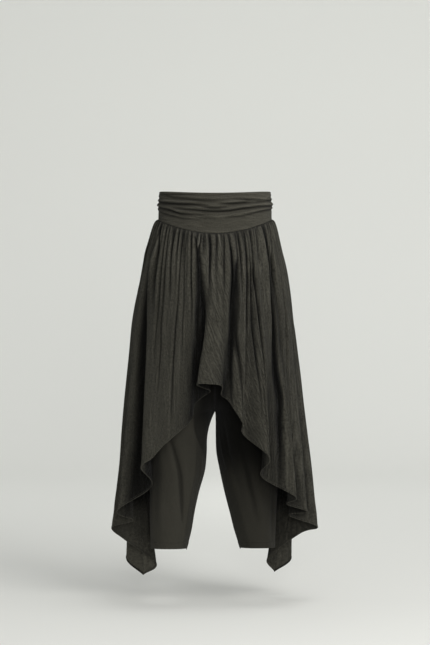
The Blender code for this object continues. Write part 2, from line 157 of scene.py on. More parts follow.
def meshPiece(name, points, faces, uv, material, masks=None):
    # Points in millimetres, faces as rows of corner numbers, uv in metres of cloth, and masks
    # as named numbers, one for each point. Points, uv and masks may be grids.
    mesh = bpy.data.meshes.new(name)
    mesh.from_pydata((points.reshape(-1, 3) * mm).tolist(), [], faces.tolist())
    layer = mesh.uv_layers.new(name="clothPlace")
    corners = np.empty(len(mesh.loops), dtype=np.int32)
    mesh.loops.foreach_get("vertex_index", corners)
    layer.data.foreach_set("uv", uv.reshape(-1, 2)[corners].astype(np.float32).ravel())
    for key, values in (masks or {}).items():
        attribute = mesh.attributes.new(key, "FLOAT", "POINT")
        attribute.data.foreach_set("value", values.ravel().astype(np.float32))
    mesh.shade_smooth()
    mesh.materials.append(material)
    piece = bpy.data.objects.new(name, mesh)
    bpy.context.scene.collection.objects.link(piece)
    return piece


def gridFaces(points, closed=False):
    # Four-cornered faces between neighbours of a grid: upper left, lower left, lower right,
    # upper right. On a closed grid the last row is joined to the first.
    rows, columns = points.shape[:2]
    index = np.arange(rows * columns).reshape(rows, columns)
    if closed:
        index = np.concatenate([index, index[:1]], axis=0)
    return np.stack([index[:-1, :-1], index[1:, :-1], index[1:, 1:], index[:-1, 1:]],
                    axis=-1).reshape(-1, 4)


def clothSheet(name, points, uv, material, thick, masks):
    # A grid of points given a cloth's thickness, half of it to each side
    piece = meshPiece(name, points, gridFaces(points), uv, material, masks)
    wall = piece.modifiers.new("clothThickness", "SOLIDIFY")
    wall.thickness = thick * mm
    wall.offset = 0.0
    return piece


def placePiece(piece, slot, *nodes):
    # All the pieces are fixed to the garment's one body, and some stand for CAD nodes
    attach(piece, "root")
    if nodes:
        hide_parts(*nodes)
    return piece


stitching = {                  # spacing, length and width of the stitches on each cloth
    "overskirt_cloth": (3.2, 2.3, 0.7),
    "band_cloth": (3.0, 2.1, 0.7),
    "trouser_cloth": (3.2, 2.2, 0.7),
}


def makeStitches(name, line, square, slot):
    # A row of stitches along a line of points: each is a slim eight-sided bead with one point
    # at either end and four points round its middle, at middle + side or middle + square
    pitch, length, wide = stitching[slot]
    run = runAlong(line)
    middle = np.arange(pitch, run[-1] - pitch, pitch)

    def at(place, values):
        return np.stack([np.interp(place, run, values[:, axis]) for axis in range(3)], axis=-1)

    centre = at(middle, line)
    start = at(middle - length / 2, line)
    end = at(middle + length / 2, line)
    up = unitVectors(at(middle, square))
    side = unitVectors(np.cross(end - start, up)) * wide / 2
    rise = up * wide / 2
    points = np.stack([start, centre + side, centre + rise, centre - side, centre - rise, end],
                      axis=1)
    bead = np.array([[0, 1, 2], [0, 2, 3], [0, 3, 4], [0, 4, 1],
                     [5, 2, 1], [5, 3, 2], [5, 4, 3], [5, 1, 4]])
    faces = (6 * np.arange(len(middle))[:, None, None] + bead[None]).reshape(-1, 3)
    piece = meshPiece(name, points, faces, points[..., [0, 2]] * mm, sewingThread)
    placePiece(piece, slot)


# Materials

def nodeChain(tree):
    # Short ways to add a node, to join a value or another node's output to an input, and to
    # put a calculation between them
    def add(kind, **settings):
        node = tree.nodes.new(kind)
        for key, value in settings.items():
            setattr(node, key, value)
        return node

    def join(source, target):
        if isinstance(source, bpy.types.NodeSocket):
            tree.links.new(source, target)
        else:
            target.default_value = source

    def calc(operation, first, second=0.0):
        node = add("ShaderNodeMath", operation=operation)
        join(first, node.inputs[0])
        join(second, node.inputs[1])
        return node.outputs[0]

    return add, join, calc


def setInputs(node, values):
    # Fixed values for a node's inputs, by their names
    for label, value in values.items():
        node.inputs[label].default_value = value


def newGroup(name, inputs, outputs):
    # An empty node group. Its inputs and outputs are given by name, each with its kind.
    group = bpy.data.node_groups.new(name, "ShaderNodeTree")
    for direction, sockets in (("INPUT", inputs), ("OUTPUT", outputs)):
        for label, kind in sockets.items():
            group.interface.new_socket(label, in_out=direction, socket_type="NodeSocket" + kind)
    return group


weaveMix = {
    "crinkleDetail": 1.2,      # of the noise that makes the crinkles
    "crinkleBend": 0.25,       # how far that noise is bent
    "crinkleRise": 5.0,        # the folded noise is multiplied by this
    "crinkleSink": 0.45,       # and lowered by this
    "puckerLong": 1.8,         # length of a pucker as a multiple of its width
    "puckerDetail": 1.0,
    "puckerRise": 2.0,
    "fullWave": 6.2832,        # radians from thread to thread
    "threadRise": 0.3,
    "reliefShade": 0.6,        # painted light on the crinkles' and puckers' high places
    "threadShade": 0.3,        # and the raised threads
}


def makeThreadGroup():
    # Height and painted shade of a crinkled plain weave. Crinkles are noise stretched along the
    # warp and folded about its middle, so that they have sharp troughs. The puckers between them
    # are finer noise, and the threads two crossed sine waves, one for the warp and one for the
    # weft.
    group = newGroup("crinkledWeave",
                     {"Place": "Vector", "Crinkle Width": "Float", "Crinkle Length": "Float",
                      "Crinkle": "Float", "Pucker Size": "Float", "Pucker": "Float",
                      "Thread Pitch": "Float", "Thread": "Float"},
                     {"Height": "Float", "Shade": "Float"})
    add, join, calc = nodeChain(group)
    given = add("NodeGroupInput").outputs
    result = add("NodeGroupOutput").inputs
    split = add("ShaderNodeSeparateXYZ")
    join(given["Place"], split.inputs[0])
    u = split.outputs[0]
    v = split.outputs[1]

    def patches(width, length, detail, bend):
        place = add("ShaderNodeCombineXYZ")
        join(calc("DIVIDE", u, width), place.inputs[0])
        join(calc("DIVIDE", v, length), place.inputs[1])
        noise = add("ShaderNodeTexNoise")
        join(place.outputs[0], noise.inputs["Vector"])
        setInputs(noise, {"Scale": 1.0, "Detail": detail, "Distortion": bend})
        return calc("SUBTRACT", noise.outputs["Fac"], 0.5)

    def wave(place):
        turn = calc("DIVIDE", calc("MULTIPLY", place, weaveMix["fullWave"]), given["Thread Pitch"])
        return calc("SINE", turn)

    long = patches(given["Crinkle Width"], given["Crinkle Length"], weaveMix["crinkleDetail"],
                   weaveMix["crinkleBend"])
    folded = calc("SUBTRACT", calc("MULTIPLY", calc("ABSOLUTE", long), weaveMix["crinkleRise"]),
                  weaveMix["crinkleSink"])
    crinkle = calc("MULTIPLY", folded, given["Crinkle"])
    puckerLength = calc("MULTIPLY", given["Pucker Size"], weaveMix["puckerLong"])
    small = patches(given["Pucker Size"], puckerLength, weaveMix["puckerDetail"], 0.0)
    pucker = calc("MULTIPLY", small, calc("MULTIPLY", given["Pucker"], weaveMix["puckerRise"]))
    threads = calc("MULTIPLY", calc("MULTIPLY", wave(u), wave(v)), given["Thread"])
    relief = calc("ADD", crinkle, pucker)
    raised = calc("MULTIPLY", threads, weaveMix["threadRise"])
    join(calc("ADD", relief, raised), result["Height"])
    light = calc("ADD", calc("MULTIPLY", relief, weaveMix["reliefShade"]),
                 calc("MULTIPLY", threads, weaveMix["threadShade"]))
    join(calc("ADD", 0.5, light), result["Shade"])
    return group


toneMix = {
    "patchDetail": 3.0,
    "patchLowest": 0.84,       # tone of the darkest patches
    "patchRange": 0.32,        # and what the palest ones have more
    "highlightGain": 0.35,          # share of the tone added as painted highlight
    "shadeLoss": 0.92,          # and lost as painted shade
    "roughest": 0.99,          # roughness where Shade is 0
    "roughLess": 0.12,         # and what is lost where it is 1
}


def makeToneGroup():
    # The cloth's colour times a slow change of tone, from noise on the object's own place, the
    # weave's fine painted shade, painted highlights on edges and crests, and painted shade in the
    # folds. The high places are a little smoother.
    group = newGroup("clothTone",
                     {"Cloth": "Color", "Shade": "Float", "Shade Depth": "Float",
                      "Patch Size": "Float", "Painted Highlight": "Float", "Fold": "Float"},
                     {"Color": "Color", "Roughness": "Float"})
    add, join, calc = nodeChain(group)
    given = add("NodeGroupInput").outputs
    result = add("NodeGroupOutput").inputs

    place = add("ShaderNodeTexCoord").outputs["Object"]
    scaled = add("ShaderNodeVectorMath", operation="SCALE")
    join(place, scaled.inputs[0])
    join(calc("DIVIDE", 1.0, given["Patch Size"]), scaled.inputs["Scale"])
    noise = add("ShaderNodeTexNoise")
    join(scaled.outputs[0], noise.inputs["Vector"])
    setInputs(noise, {"Scale": 1.0, "Detail": toneMix["patchDetail"]})
    slow = calc("ADD", toneMix["patchLowest"],
                calc("MULTIPLY", noise.outputs["Fac"], toneMix["patchRange"]))
    fine = calc("ADD", 1.0, calc("MULTIPLY", calc("SUBTRACT", given["Shade"], 0.5),
                                 given["Shade Depth"]))
    pale = calc("ADD", 1.0, calc("MULTIPLY", given["Painted Highlight"], toneMix["highlightGain"]))
    deep = calc("SUBTRACT", 1.0, calc("MULTIPLY", given["Fold"], toneMix["shadeLoss"]))
    tone = calc("MULTIPLY", calc("MULTIPLY", slow, fine), calc("MULTIPLY", pale, deep))
    colour = add("ShaderNodeVectorMath", operation="SCALE")
    join(given["Cloth"], colour.inputs[0])
    join(tone, colour.inputs["Scale"])
    join(colour.outputs[0], result["Color"])
    smoother = calc("MULTIPLY", given["Shade"], toneMix["roughLess"])
    join(calc("SUBTRACT", toneMix["roughest"], smoother), result["Roughness"])
    return group


threadGroup = makeThreadGroup()
toneGroup = makeToneGroup()

# Each finish names the inputs of its weave, its tone and its bump. Lengths are metres of cloth.
finishes = {
    "overskirtGauze": {
        "weave": {"Crinkle Width": 0.0075, "Crinkle Length": 0.070, "Crinkle": 1.0,
                  "Pucker Size": 0.0034, "Pucker": 0.9, "Thread Pitch": 0.0010, "Thread": 0.3},
        "tone": {"Cloth": (0.0408, 0.0387, 0.0309, 1.0), "Shade Depth": 0.9, "Patch Size": 0.11},
        "bump": {"Strength": 1.0, "Distance": 0.0030},
    },
    "bandCotton": {
        "weave": {"Crinkle Width": 0.060, "Crinkle Length": 0.0065, "Crinkle": 0.8,
                  "Pucker Size": 0.0030, "Pucker": 0.5, "Thread Pitch": 0.0010, "Thread": 0.3},
        "tone": {"Cloth": (0.0455, 0.0429, 0.0342, 1.0), "Shade Depth": 0.6, "Patch Size": 0.09},
        "bump": {"Strength": 1.0, "Distance": 0.0018},
    },
    "trouserCotton": {
        "weave": {"Crinkle Width": 0.014, "Crinkle Length": 0.05, "Crinkle": 0.25,
                  "Pucker Size": 0.0030, "Pucker": 0.4, "Thread Pitch": 0.0010, "Thread": 0.35},
        "tone": {"Cloth": (0.0298, 0.0281, 0.0225, 1.0), "Shade Depth": 0.3, "Patch Size": 0.12},
        "bump": {"Strength": 0.6, "Distance": 0.0008},
    },
    "sewingThread": {
        "weave": {"Crinkle Width": 0.001, "Crinkle Length": 0.001, "Crinkle": 0.3,
                  "Pucker Size": 0.001, "Pucker": 0.2, "Thread Pitch": 0.0004, "Thread": 0.4},
        "tone": {"Cloth": (0.062, 0.058, 0.048, 1.0), "Shade Depth": 0.2, "Patch Size": 0.05},
        "bump": {"Strength": 0.3, "Distance": 0.0001},
    },
}
matteCotton = {"Metallic": 0.0, "Specular IOR Level": 0.04, "Sheen Weight": 0.03,
               "Sheen Roughness": 0.55}


def makeCloth(name):
    # The weave gives the bump and the fine painted shade, and the tone group the colour. Only
    # the gauze is crinkled more in some places than in others.
    finish = finishes[name]
    material = bpy.data.materials.new(name)
    material.use_nodes = True
    tree = material.node_tree
    add, join, calc = nodeChain(tree)

    def mask(label):
        return add("ShaderNodeAttribute", attribute_name=label).outputs["Fac"]

    weave = add("ShaderNodeGroup", node_tree=threadGroup)
    setInputs(weave, finish["weave"])
    join(add("ShaderNodeUVMap", uv_map="clothPlace").outputs[0], weave.inputs["Place"])
    if name == "overskirtGauze":
        crinkle = calc("MULTIPLY", mask("crinkleShare"), finish["weave"]["Crinkle"])
        join(crinkle, weave.inputs["Crinkle"])
    tone = add("ShaderNodeGroup", node_tree=toneGroup)
    setInputs(tone, finish["tone"])
    join(weave.outputs["Shade"], tone.inputs["Shade"])
    # painted highlights and painted shade from each piece's masks
    join(mask("paintedHighlight"), tone.inputs["Painted Highlight"])
    join(mask("paintedShade"), tone.inputs["Fold"])
    bump = add("ShaderNodeBump")
    setInputs(bump, finish["bump"])
    join(weave.outputs["Height"], bump.inputs["Height"])
    shader = tree.nodes["Principled BSDF"]
    setInputs(shader, matteCotton)
    join(tone.outputs["Color"], shader.inputs["Base Color"])
    join(tone.outputs["Roughness"], shader.inputs["Roughness"])
    join(bump.outputs["Normal"], shader.inputs["Normal"])
    return material


gauze, bandCotton, trouserCotton, sewingThread = (makeCloth(name) for name in finishes)
print("materials made")


# Overskirt

overskirt = {
    "hipHalfWidth": 193.0,     # section at the hip
    "hipHalfDepth": 146.0,
    "hipHeight": -245.0,
    "lowestFlare": -788.0,     # height where the sides stand widest
    "flarePower": 0.62,        # below 1: the cloth springs out just under the band
    "sewnIn": 5.3,             # how far outside the band's inner face the cloth is sewn in
    "sideReach": 6.0,          # above 1: the ease stays close to the sides
    "columns": 330,            # across each panel
    "rows": 148,
    "rowPower": 1.22,          # rows lie closer together near the band
    "thick": 0.9,
    "evenAt": 0.55,            # row on which the texture has its true size
    "cornerCalm": 2.6,         # degrees over which the relief grows from a side corner
    "hemCalm": 0.6,            # share of the relief that is lost at the hem
}

# Fold lines from one side corner round to the other. Each runs from an angle at the band,
# through an angle at the hip, to a point on the hem: x, y and z.
skirtFolds = (
    (-90, -104, -179.3, 82, -914.3),     # left corner
    (-86, -98, -149.6, 68, -880),
    (-83, -94, -224, 26, -818),
    (-80, -90, -254.1, 0, -788.4),
    (-75.5, -82, -200.1, -35, -764.1),
    (-71, -70.1, -238.9, -60, -739.3),
    (-66, -58.8, -154.2, -88, -678.5),
    (-60.5, -52.6, -176.4, -130, -630),
    (-57, -49.4, -170, -138, -618),
    (-51.5, -44.4, -150.5, -148, -605),
    (-45.5, -38.9, -124, -155, -575.5),
    (-38, -31.9, -105.9, -158, -559.5),
    (-29, -23.6, -79, -151, -536.5),
    (-23.5, -18.5, -59.5, -138, -519),
    (-21, -16.2, -51.2, -129, -503.8),
    (-19, -14.4, -47, -108, -480),
    (-15.5, -11, -21, -108, -452),
    (-9.5, -7, -42.5, -160, -431.2),
    (-1, -0.7, -16.4, -170, -427.3),       # centre front
    (8.5, 8.2, 18.4, -148, -437.3),
    (13, 12, 16, -137, -456.2),
    (18, 16, 31.7, -141, -470),
    (23, 20.1, 65.3, -152, -521.3),
    (28, 24.1, 62.5, -134, -540.1),
    (43, 35.4, 130, -140, -606.9),
    (54.5, 47, 115.4, -108, -655.7),
    (62, 54.5, 195.4, -105, -703.8),
    (66.5, 60.5, 173, -82, -719.5),
    (71, 68, 223.6, -62, -739.8),
    (75.5, 80, 179.5, -38, -751.4),
    (80, 89, 252.1, 0, -786),
    (83, 93.5, 212, 24, -802),
    (86, 98, 135.9, 68, -866),
    (90, 104, 148.3, 82, -906.3),        # right corner
    (94, 109, 191.9, 96, -874.8),
    (99, 116, 148, 118, -812),
    (104.5, 122, 196, 132, -764),
    (110, 128, 142, 142, -700),
    (117, 133, 170, 166, -640),
    (126, 139, 112, 140, -596),
    (134.5, 147, 116, 170, -556),
    (143, 154, 72, 134, -520),
    (152, 161, 74, 168, -484),
    (161, 167, 34, 132, -456),
    (170, 173.5, 32, 167, -438),
    (179, 179.5, 2, 138, -432),        # centre back
    (188, 186.5, -8, 168, -437),
    (197, 193, -44, 136, -462),
    (206, 199.5, -46, 166, -494),
    (217, 208, -84, 134, -532),
    (229, 217, -118, 162, -572),
    (241, 226, -168, 158, -632),
    (248, 231, -142, 142, -690),
    (254.5, 238, -204, 130, -748),
    (260.5, 244, -156, 114, -806),
    (266, 251, -222.3, 96, -874.8),
    (270, 256, -179.3, 82, -914.3),      # left corner
)

# Long valleys between the gathers: their angle at the band, at the hip and low on the skirt,
# their depth, half width just below the band and at the hip, how far below the band they
# start and end, and how far the ridges on their left and right lean over them.
frontValleys = (
    (-84, -84, -84, 13, 3, 8, 0, 560, 0, 4),
    (-77, -75.5, -75.5, 6, 2.6, 5, 0, 230, 2, 0),
    (-73, -73, -73, 4.5, 2.4, 3, 0, 90, 0, 0),
    (-67.4, -67.6, -67.4, 30, 3.4, 13.5, 0, 760, 0, 12.5),
    (-62.3, -57, -55, 8, 2.8, 4, 0, 250, 0, 3),
    (-53.2, -52.5, -53, 6.5, 2.2, 3, 0, 360, 0, 1.5),
    (-48.5, -47.2, -49, 8.5, 2, 3.2, 0, 460, 0, 2),
    (-42.6, -41, -41, 8, 2.8, 3.6, 0, 190, 0, 2),
    (-36.6, -36.4, -36.4, 4.5, 2.4, 3, 0, 80, 0, 0),
    (-32, -33, -37, 8.5, 2.4, 3.4, 0, 600, 0, 3),
    (-28, -28.6, -30, 4.5, 2.2, 2.6, 0, 420, 0, 1),
    (-23.4, -22.2, -22.2, 8, 2.6, 3.6, 0, 260, 3, 0),
    (-13.4, -14.2, -14.6, 36, 2, 11.5, 26, 700, 4, 0),
    (-13.2, -13.8, -14, 12, 2, 2.8, 0, 200, 0, 0),
    (-19.4, -18.6, -16.5, 14, 2, 5, 10, 380, 0, 0),
    (-7.6, -7, -7, 7, 2.2, 3, 0, 160, 0, 1),
    (-6, -6, -6, 3.5, 2.2, 2.6, 0, 70, 0, 0),
    (0.4, 0.4, 0.4, 3.5, 2.2, 2.6, 0, 70, 0, 0),
    (7.2, 5.8, 5.8, 5.5, 2.4, 3.2, 0, 200, 0, 2),
    (11.4, 12.2, 19.2, 22, 2.2, 7.6, 30, 520, 4, 0),
    (11.2, 11.6, 13, 11, 2, 2.8, 0, 220, 0, 0),
    (15.5, 16.5, 23, 11, 3, 8, 60, 560, 0, 0),
    (17.9, 19, 20, 6, 2.4, 3.2, 0, 260, 2, 0),
    (21.8, 22.2, 22.6, 7, 2, 2.8, 0, 190, 0, 1),
    (30, 30, 34, 3.5, 4, 14, 80, 420, 0, 0),
    (27, 26.8, 28.5, 9, 2.4, 3.4, 0, 500, 2, 0),
    (31, 31.4, 38, 9.5, 2.2, 3.4, 60, 520, 2, 0),
    (34.3, 38, 44, 13, 2.8, 4.2, 0, 500, 3, 0),
    (37, 37, 40.5, 5, 2.2, 2.8, 300, 640, 0, 0),
    (42, 43, 47, 5, 2.2, 2.8, 300, 660, 0, 0),
    (42.2, 44, 45, 4, 2.4, 3, 0, 110, 0, 0),
    (51.3, 54, 56.8, 24, 2.8, 7, 0, 560, 5, 0),
    (54, 54, 57.7, 24, 2.8, 7.5, 300, 740, 0, 0),
    (58, 59.5, 61, 7, 3, 9, 60, 640, 0, 0),
    (61, 60.5, 60, 6, 2.6, 4, 0, 220, 0, 2),
    (68.5, 67.5, 66, 9, 2.6, 4.4, 0, 520, 4, 0),
    (75, 75.5, 76, 7, 2.4, 4, 60, 520, 3, 0),
    (80, 79.5, 79, 6, 2.6, 4.4, 0, 300, 0, 2),
    (85.5, 85.5, 85.5, 6, 2.4, 5, 0, 300, 2, 0),
)
backValleys = (
    (97, 97.5, 98, 8, 2.6, 6, 0, 420, 0, 3),
    (104, 103, 103, 6.5, 2.6, 4, 0, 190, 2, 0),
    (110.5, 112, 113, 26, 3, 9, 0, 600, 0, 11),
    (118, 117.5, 117.5, 4.5, 2.4, 3, 0, 110, 0, 0),
    (124.5, 126, 127, 9, 2.8, 4.4, 0, 460, 3, 0),
    (130, 130, 130, 4, 2.4, 3, 0, 80, 0, 0),
    (136, 135, 136, 7.5, 2.6, 4, 0, 280, 0, 3),
    (142, 143, 144, 22, 2.8, 7, 0, 480, 8, 0),
    (149.5, 149, 149, 4.5, 2.4, 3, 0, 120, 0, 0),
    (155, 156.5, 158, 8, 2.6, 4, 0, 320, 0, 3),
    (162, 162, 162, 5.5, 2.4, 3.4, 0, 160, 2, 0),
    (168.5, 167.5, 167, 26, 3, 8.5, 20, 420, 0, 10),
    (175, 175, 175, 4, 2.2, 2.8, 0, 80, 0, 0),
    (181, 182.5, 183, 7, 2.6, 3.8, 0, 260, 3, 0),
    (188, 188, 188, 20, 2.8, 6.5, 0, 400, 7, 0),
    (194, 194.5, 194.5, 4.5, 2.4, 3, 0, 100, 0, 0),
    (200.5, 199, 198, 7.5, 2.6, 4, 0, 240, 0, 3),
    (207, 208.5, 210, 25, 3, 8.5, 0, 520, 0, 10),
    (213, 213, 213, 4.5, 2.4, 3, 0, 90, 0, 0),
    (219.5, 218.5, 218, 7, 2.6, 4, 0, 260, 3, 0),
    (226, 227.5, 229, 14, 2.8, 6, 0, 520, 0, 6),
    (233, 232.5, 232.5, 5, 2.4, 3.4, 0, 140, 0, 0),
    (240, 239, 239, 24, 2.8, 7.5, 0, 620, 9, 0),
    (247, 248.5, 249, 6.5, 2.6, 4.2, 0, 260, 0, 2),
    (256, 256, 256, 9, 2.8, 6, 0, 520, 3, 0),
    (263, 263, 263, 6, 2.6, 4.2, 0, 240, 0, 2),
)


# The sides hang closer than plain fold lines would. At each drop below the band: the share
# of their spread from the band that the left and the right side keep.
sideEase = (
    (0, 0.74, 0.54),
    (45, 0.77, 0.58),
    (75, 0.87, 0.67),
    (105, 0.92, 0.77),
    (165, 1.03, 0.88),
    (225, 1.07, 0.94),
    (340, 1.03, 0.94),
    (460, 1.01, 0.95),
    (580, 0.97, 0.98),
    (760, 1, 1),
    (900, 1, 1),
)


def hipTurn(angle):
    # The fold lines' angle at the hip, going on evenly past the first and the last one
    rows = np.array(skirtFolds)
    knots = np.concatenate([rows[-2:-1, 0] - 360.0, rows[:, 0], rows[1:2, 0] + 360.0])
    values = np.concatenate([rows[-2:-1, 1] - 360.0, rows[:, 1], rows[1:2, 1] + 360.0])
    return smoothThrough(knots, values, angle)


def skirtHem(angle, isFront):
    # One smooth curve on each panel through the fold lines' ends, pointed at the side corners
    rows = np.array(skirtFolds)
    rows = rows[rows[:, 0] <= 90.0] if isFront else rows[rows[:, 0] >= 90.0]
    return np.stack([smoothThrough(rows[:, 0], rows[:, column], angle) for column in (2, 3, 4)],
                    axis=-1)


def skirtBase(angle, share, isFront):
    # The skirt without its gathers, angle round the waist and share of the way down. A fold
    # line is start + (end - start) g + bend g (1 - g), where g grows as the drop to a power
    # below 1, and the bend takes the line through the hip oval.
    hem = skirtHem(angle, isFront)
    top = sewnHeight(angle)
    z = top + (hem[:, 2] - top) * share

    def flare(height):
        drop = np.clip((top - height) / (top - overskirt["lowestFlare"]), 0.0, None)
        return drop ** overskirt["flarePower"]

    grown = (flare(z) / flare(hem[:, 2]))[..., None]
    atHip = (flare(np.full_like(top, overskirt["hipHeight"])) / flare(hem[:, 2]))[:, None]
    start = oval(angle, waist["halfWidth"] + overskirt["sewnIn"],
                 waist["halfDepth"] + overskirt["sewnIn"])
    hip = oval(hipTurn(angle), overskirt["hipHalfWidth"], overskirt["hipHalfDepth"])
    end = hem[:, :2]
    bend = (hip - start - (end - start) * atHip) / (atHip * (1 - atHip))
    flat = start + (end - start) * grown + bend * grown * (1 - grown)

    drops, left, right = np.array(sideEase).T
    sine = np.sin(np.radians(angle))
    ease = np.where(sine < 0, smoothThrough(drops, left, top - z),
                    smoothThrough(drops, right, top - z))
    kept = 1 + (ease - 1) * np.abs(sine) ** overskirt["sideReach"]
    flat[..., 0] = start[:, 0] + (flat[..., 0] - start[:, 0]) * kept
    return np.concatenate([flat, z[..., None]], axis=-1)


gathers = {
    "count": 38,               # small gathers in each panel
    "width": (0.55, 1.6),      # of the narrowest and the widest one, to one another
    "deep": (3.6, 10.0),       # depth of the shallowest and the deepest valley
    "run": (60.0, 250.0),      # length over which the shortest and the longest one fade
    "sway": 1.1,               # degrees that they wander on their way down
    "swayWide": 9.0,           # degrees and drop over which that changes
    "swayLong": 70.0,
}


def smallGathers(angle, drop, seed, first):
    # Rounded ridges between narrow valleys. Across each gather the depth below the ridges is
    # 1 - sin(pi t)^0.75, and it fades with exp(-(drop / run)^1.3). The widths are random, and
    # so are the depths and runs of the valleys between them.
    chance = np.random.default_rng(seed)
    count = gathers["count"]
    width = chance.uniform(*gathers["width"], count)
    edges = first + 180.0 * np.concatenate([[0.0], np.cumsum(width)]) / width.sum()
    deep = chance.uniform(*gathers["deep"], count + 1)
    run = chance.uniform(*gathers["run"], count + 1)
    sway = softNoise(angle / gathers["swayWide"], drop / gathers["swayLong"], seed + 1)
    place = angle + gathers["sway"] * sway
    which = np.clip(np.searchsorted(edges, place) - 1, 0, count - 1)
    t = np.clip((place - edges[which]) / (edges[which + 1] - edges[which]), 0.0, 1.0)
    nearest = which + (t > 0.5)
    fade = np.exp(-(drop / run[nearest]) ** 1.3)
    return -deep[nearest] * fade * (1 - np.sin(np.pi * t) ** 0.75)


valleyRun = {
    "hip": 170.0,              # drops below the band where a valley's angles hold
    "low": 420.0,
    "wander": 0.5,             # degrees that it strays from them, changing over this drop
    "wanderLong": 60.0,
    "lip": 0.12,               # the low lips beside it, as a share of its depth, and at most
    "lipMost": 1.4,
    "fadesFrom": 0.45,         # share of its length after which it grows shallower
    "leans": 120.0,            # drop over which the lean of its ridges grows
}


def longValleys(angle, drop, perDegree, table):
    # Each valley is deep exp(-|s|^2.2), with a low lip on both sides, where s is the distance
    # along the cloth from the valley's line as a share of its half width. The ridge beside it
    # leans over it by a sideways shift of lean exp(-((|s| - 1.3) / 0.8)^2).
    relief = np.zeros(drop.shape)
    shift = np.zeros(drop.shape)
    knots = (0.0, valleyRun["hip"], valleyRun["low"], 2 * valleyRun["low"])
    for atBand, atHip, low, deep, wideTop, wideHip, start, end, leftLean, rightLean in table:
        line = smoothThrough(knots, (atBand, atHip, low, low), drop)
        stray = softNoise(drop / valleyRun["wanderLong"], np.full_like(drop, atBand), 7)
        line = line + valleyRun["wander"] * stray
        wide = wideTop + (wideHip - wideTop) * softStep(0.0, valleyRun["hip"], drop)
        s = (angle - line) * perDegree / wide
        size = np.abs(s)
        fadeFrom = start + (end - start) * valleyRun["fadesFrom"]
        fade = softSpan((start - 1.0, start + 10.0 + 0.3 * start), (fadeFrom, end), drop)
        lip = np.minimum(valleyRun["lip"] * deep, valleyRun["lipMost"])
        relief += fade * (lip * np.exp(-((size - 2.0) / 0.8) ** 2) - deep * np.exp(-size ** 2.2))
        lean = np.where(s > 0, -rightLean, leftLean) * softStep(0.0, valleyRun["leans"], drop)
        shift += lean * fade * np.exp(-((size - 1.3) / 0.8) ** 2)
    return relief, shift


trouserGap = {
    "atSeam": 1.7,             # depth that a fold may have where the skirt is sewn in
    "slope": 0.17,             # and how fast that grows below the seam
    "most": 23.0,
}
swells = {                     # wide swells of the cloth
    "high": 2.4,
    "sink": 0.6,               # share of their height by which they lie below the base
    "degrees": 11.0,           # width and length
    "long": 260.0,
    "grown": 160.0,            # drop below the band where they are fully grown
}
creases = {                    # fine upright creases
    "high": 0.9,
    "degrees": 1.9,
    "long": 75.0,
    "from": (10.0, 90.0),      # drops below the band over which they set in
}
flutter = {                    # of the edge along the hem
    "high": 1.2,
    "wide": 30.0,
    "from": (0.8, 1.0),        # shares of the way down over which it sets in
}


def skirtRelief(angles, drop, share, perDegree, isFront):
    # Height of the cloth over its base, and its shift along it: gathers, valleys, swells and
    # creases. It sinks no deeper than the room over the trousers, by most tanh(depth / most),
    # and it calms down at the side corners and the hem, where the edge flutters.
    first = panelStart(isFront)
    seed = 11 if isFront else 47
    small = smallGathers(angles, drop, seed, first)
    table = frontValleys if isFront else backValleys
    long, shift = longValleys(angles, drop, perDegree, table)
    broad = softNoise(angles / swells["degrees"], drop / swells["long"], seed + 2)
    broad = swells["high"] * (broad - swells["sink"])
    fine = softNoise(angles / creases["degrees"], drop / creases["long"], seed + 3)
    fine = creases["high"] * fine * softStep(*creases["from"], drop)
    relief = small + long + broad * softStep(0.0, swells["grown"], drop) + fine
    most = np.minimum(trouserGap["atSeam"] + trouserGap["slope"] * drop, trouserGap["most"])
    relief = np.where(relief < 0, -most * np.tanh(-relief / most), relief)
    fromCorner = 90.0 - np.abs(angles - first - 90.0)
    calm = 1 - np.exp(-(fromCorner / overskirt["cornerCalm"]) ** 2)
    calm = calm * (1 - overskirt["hemCalm"] * share ** 4)
    edge = softNoise(angles * perDegree / flutter["wide"], np.zeros_like(drop), seed + 4)
    edge = flutter["high"] * edge
    relief = relief * calm + edge * calm * softStep(*flutter["from"], share)
    return relief, shift * calm


# Painted shade in the skirt's valleys, under the band and in the front's folded corners
valleyShade = {
    "darkAt": (2.6, 4.4),      # two depths just below the band that grow with the drop: the
    "darkGrows": (0.11, 0.052),    # smaller one of them is fully dark,
    "darkMost": 12.5,          # and so is this one
    "power": 1.25,             # above 1: the shade gathers in the valley's bottom,
    "powerMore": 0.45,         # and the more so over this drop near the band
    "powerFades": 90.0,
    "atBand": 0.6,             # painted shadow close under the band, over this drop
    "bandFades": 2.4,
}
turnedInside = {               # painted shade where the front's corners show the inside
    "facing": (0.1, 0.7),      # how far the cloth's outside faces backwards there
    "from": (-600.0, -660.0),  # heights over which the shade sets in
    "dark": 0.65,
    "tips": (78.0, 84.0),      # degrees to each side over which it grows lighter again
    "tipsLess": 0.35,
}
underFold = {                  # painted shade: the last fold before the right corner lies in shade
    "at": 76.4,                # degrees
    "wide": 2.0,
    "dark": 0.5,
    "from": (-712.0, -742.0),  # heights over which the shade sets in
}


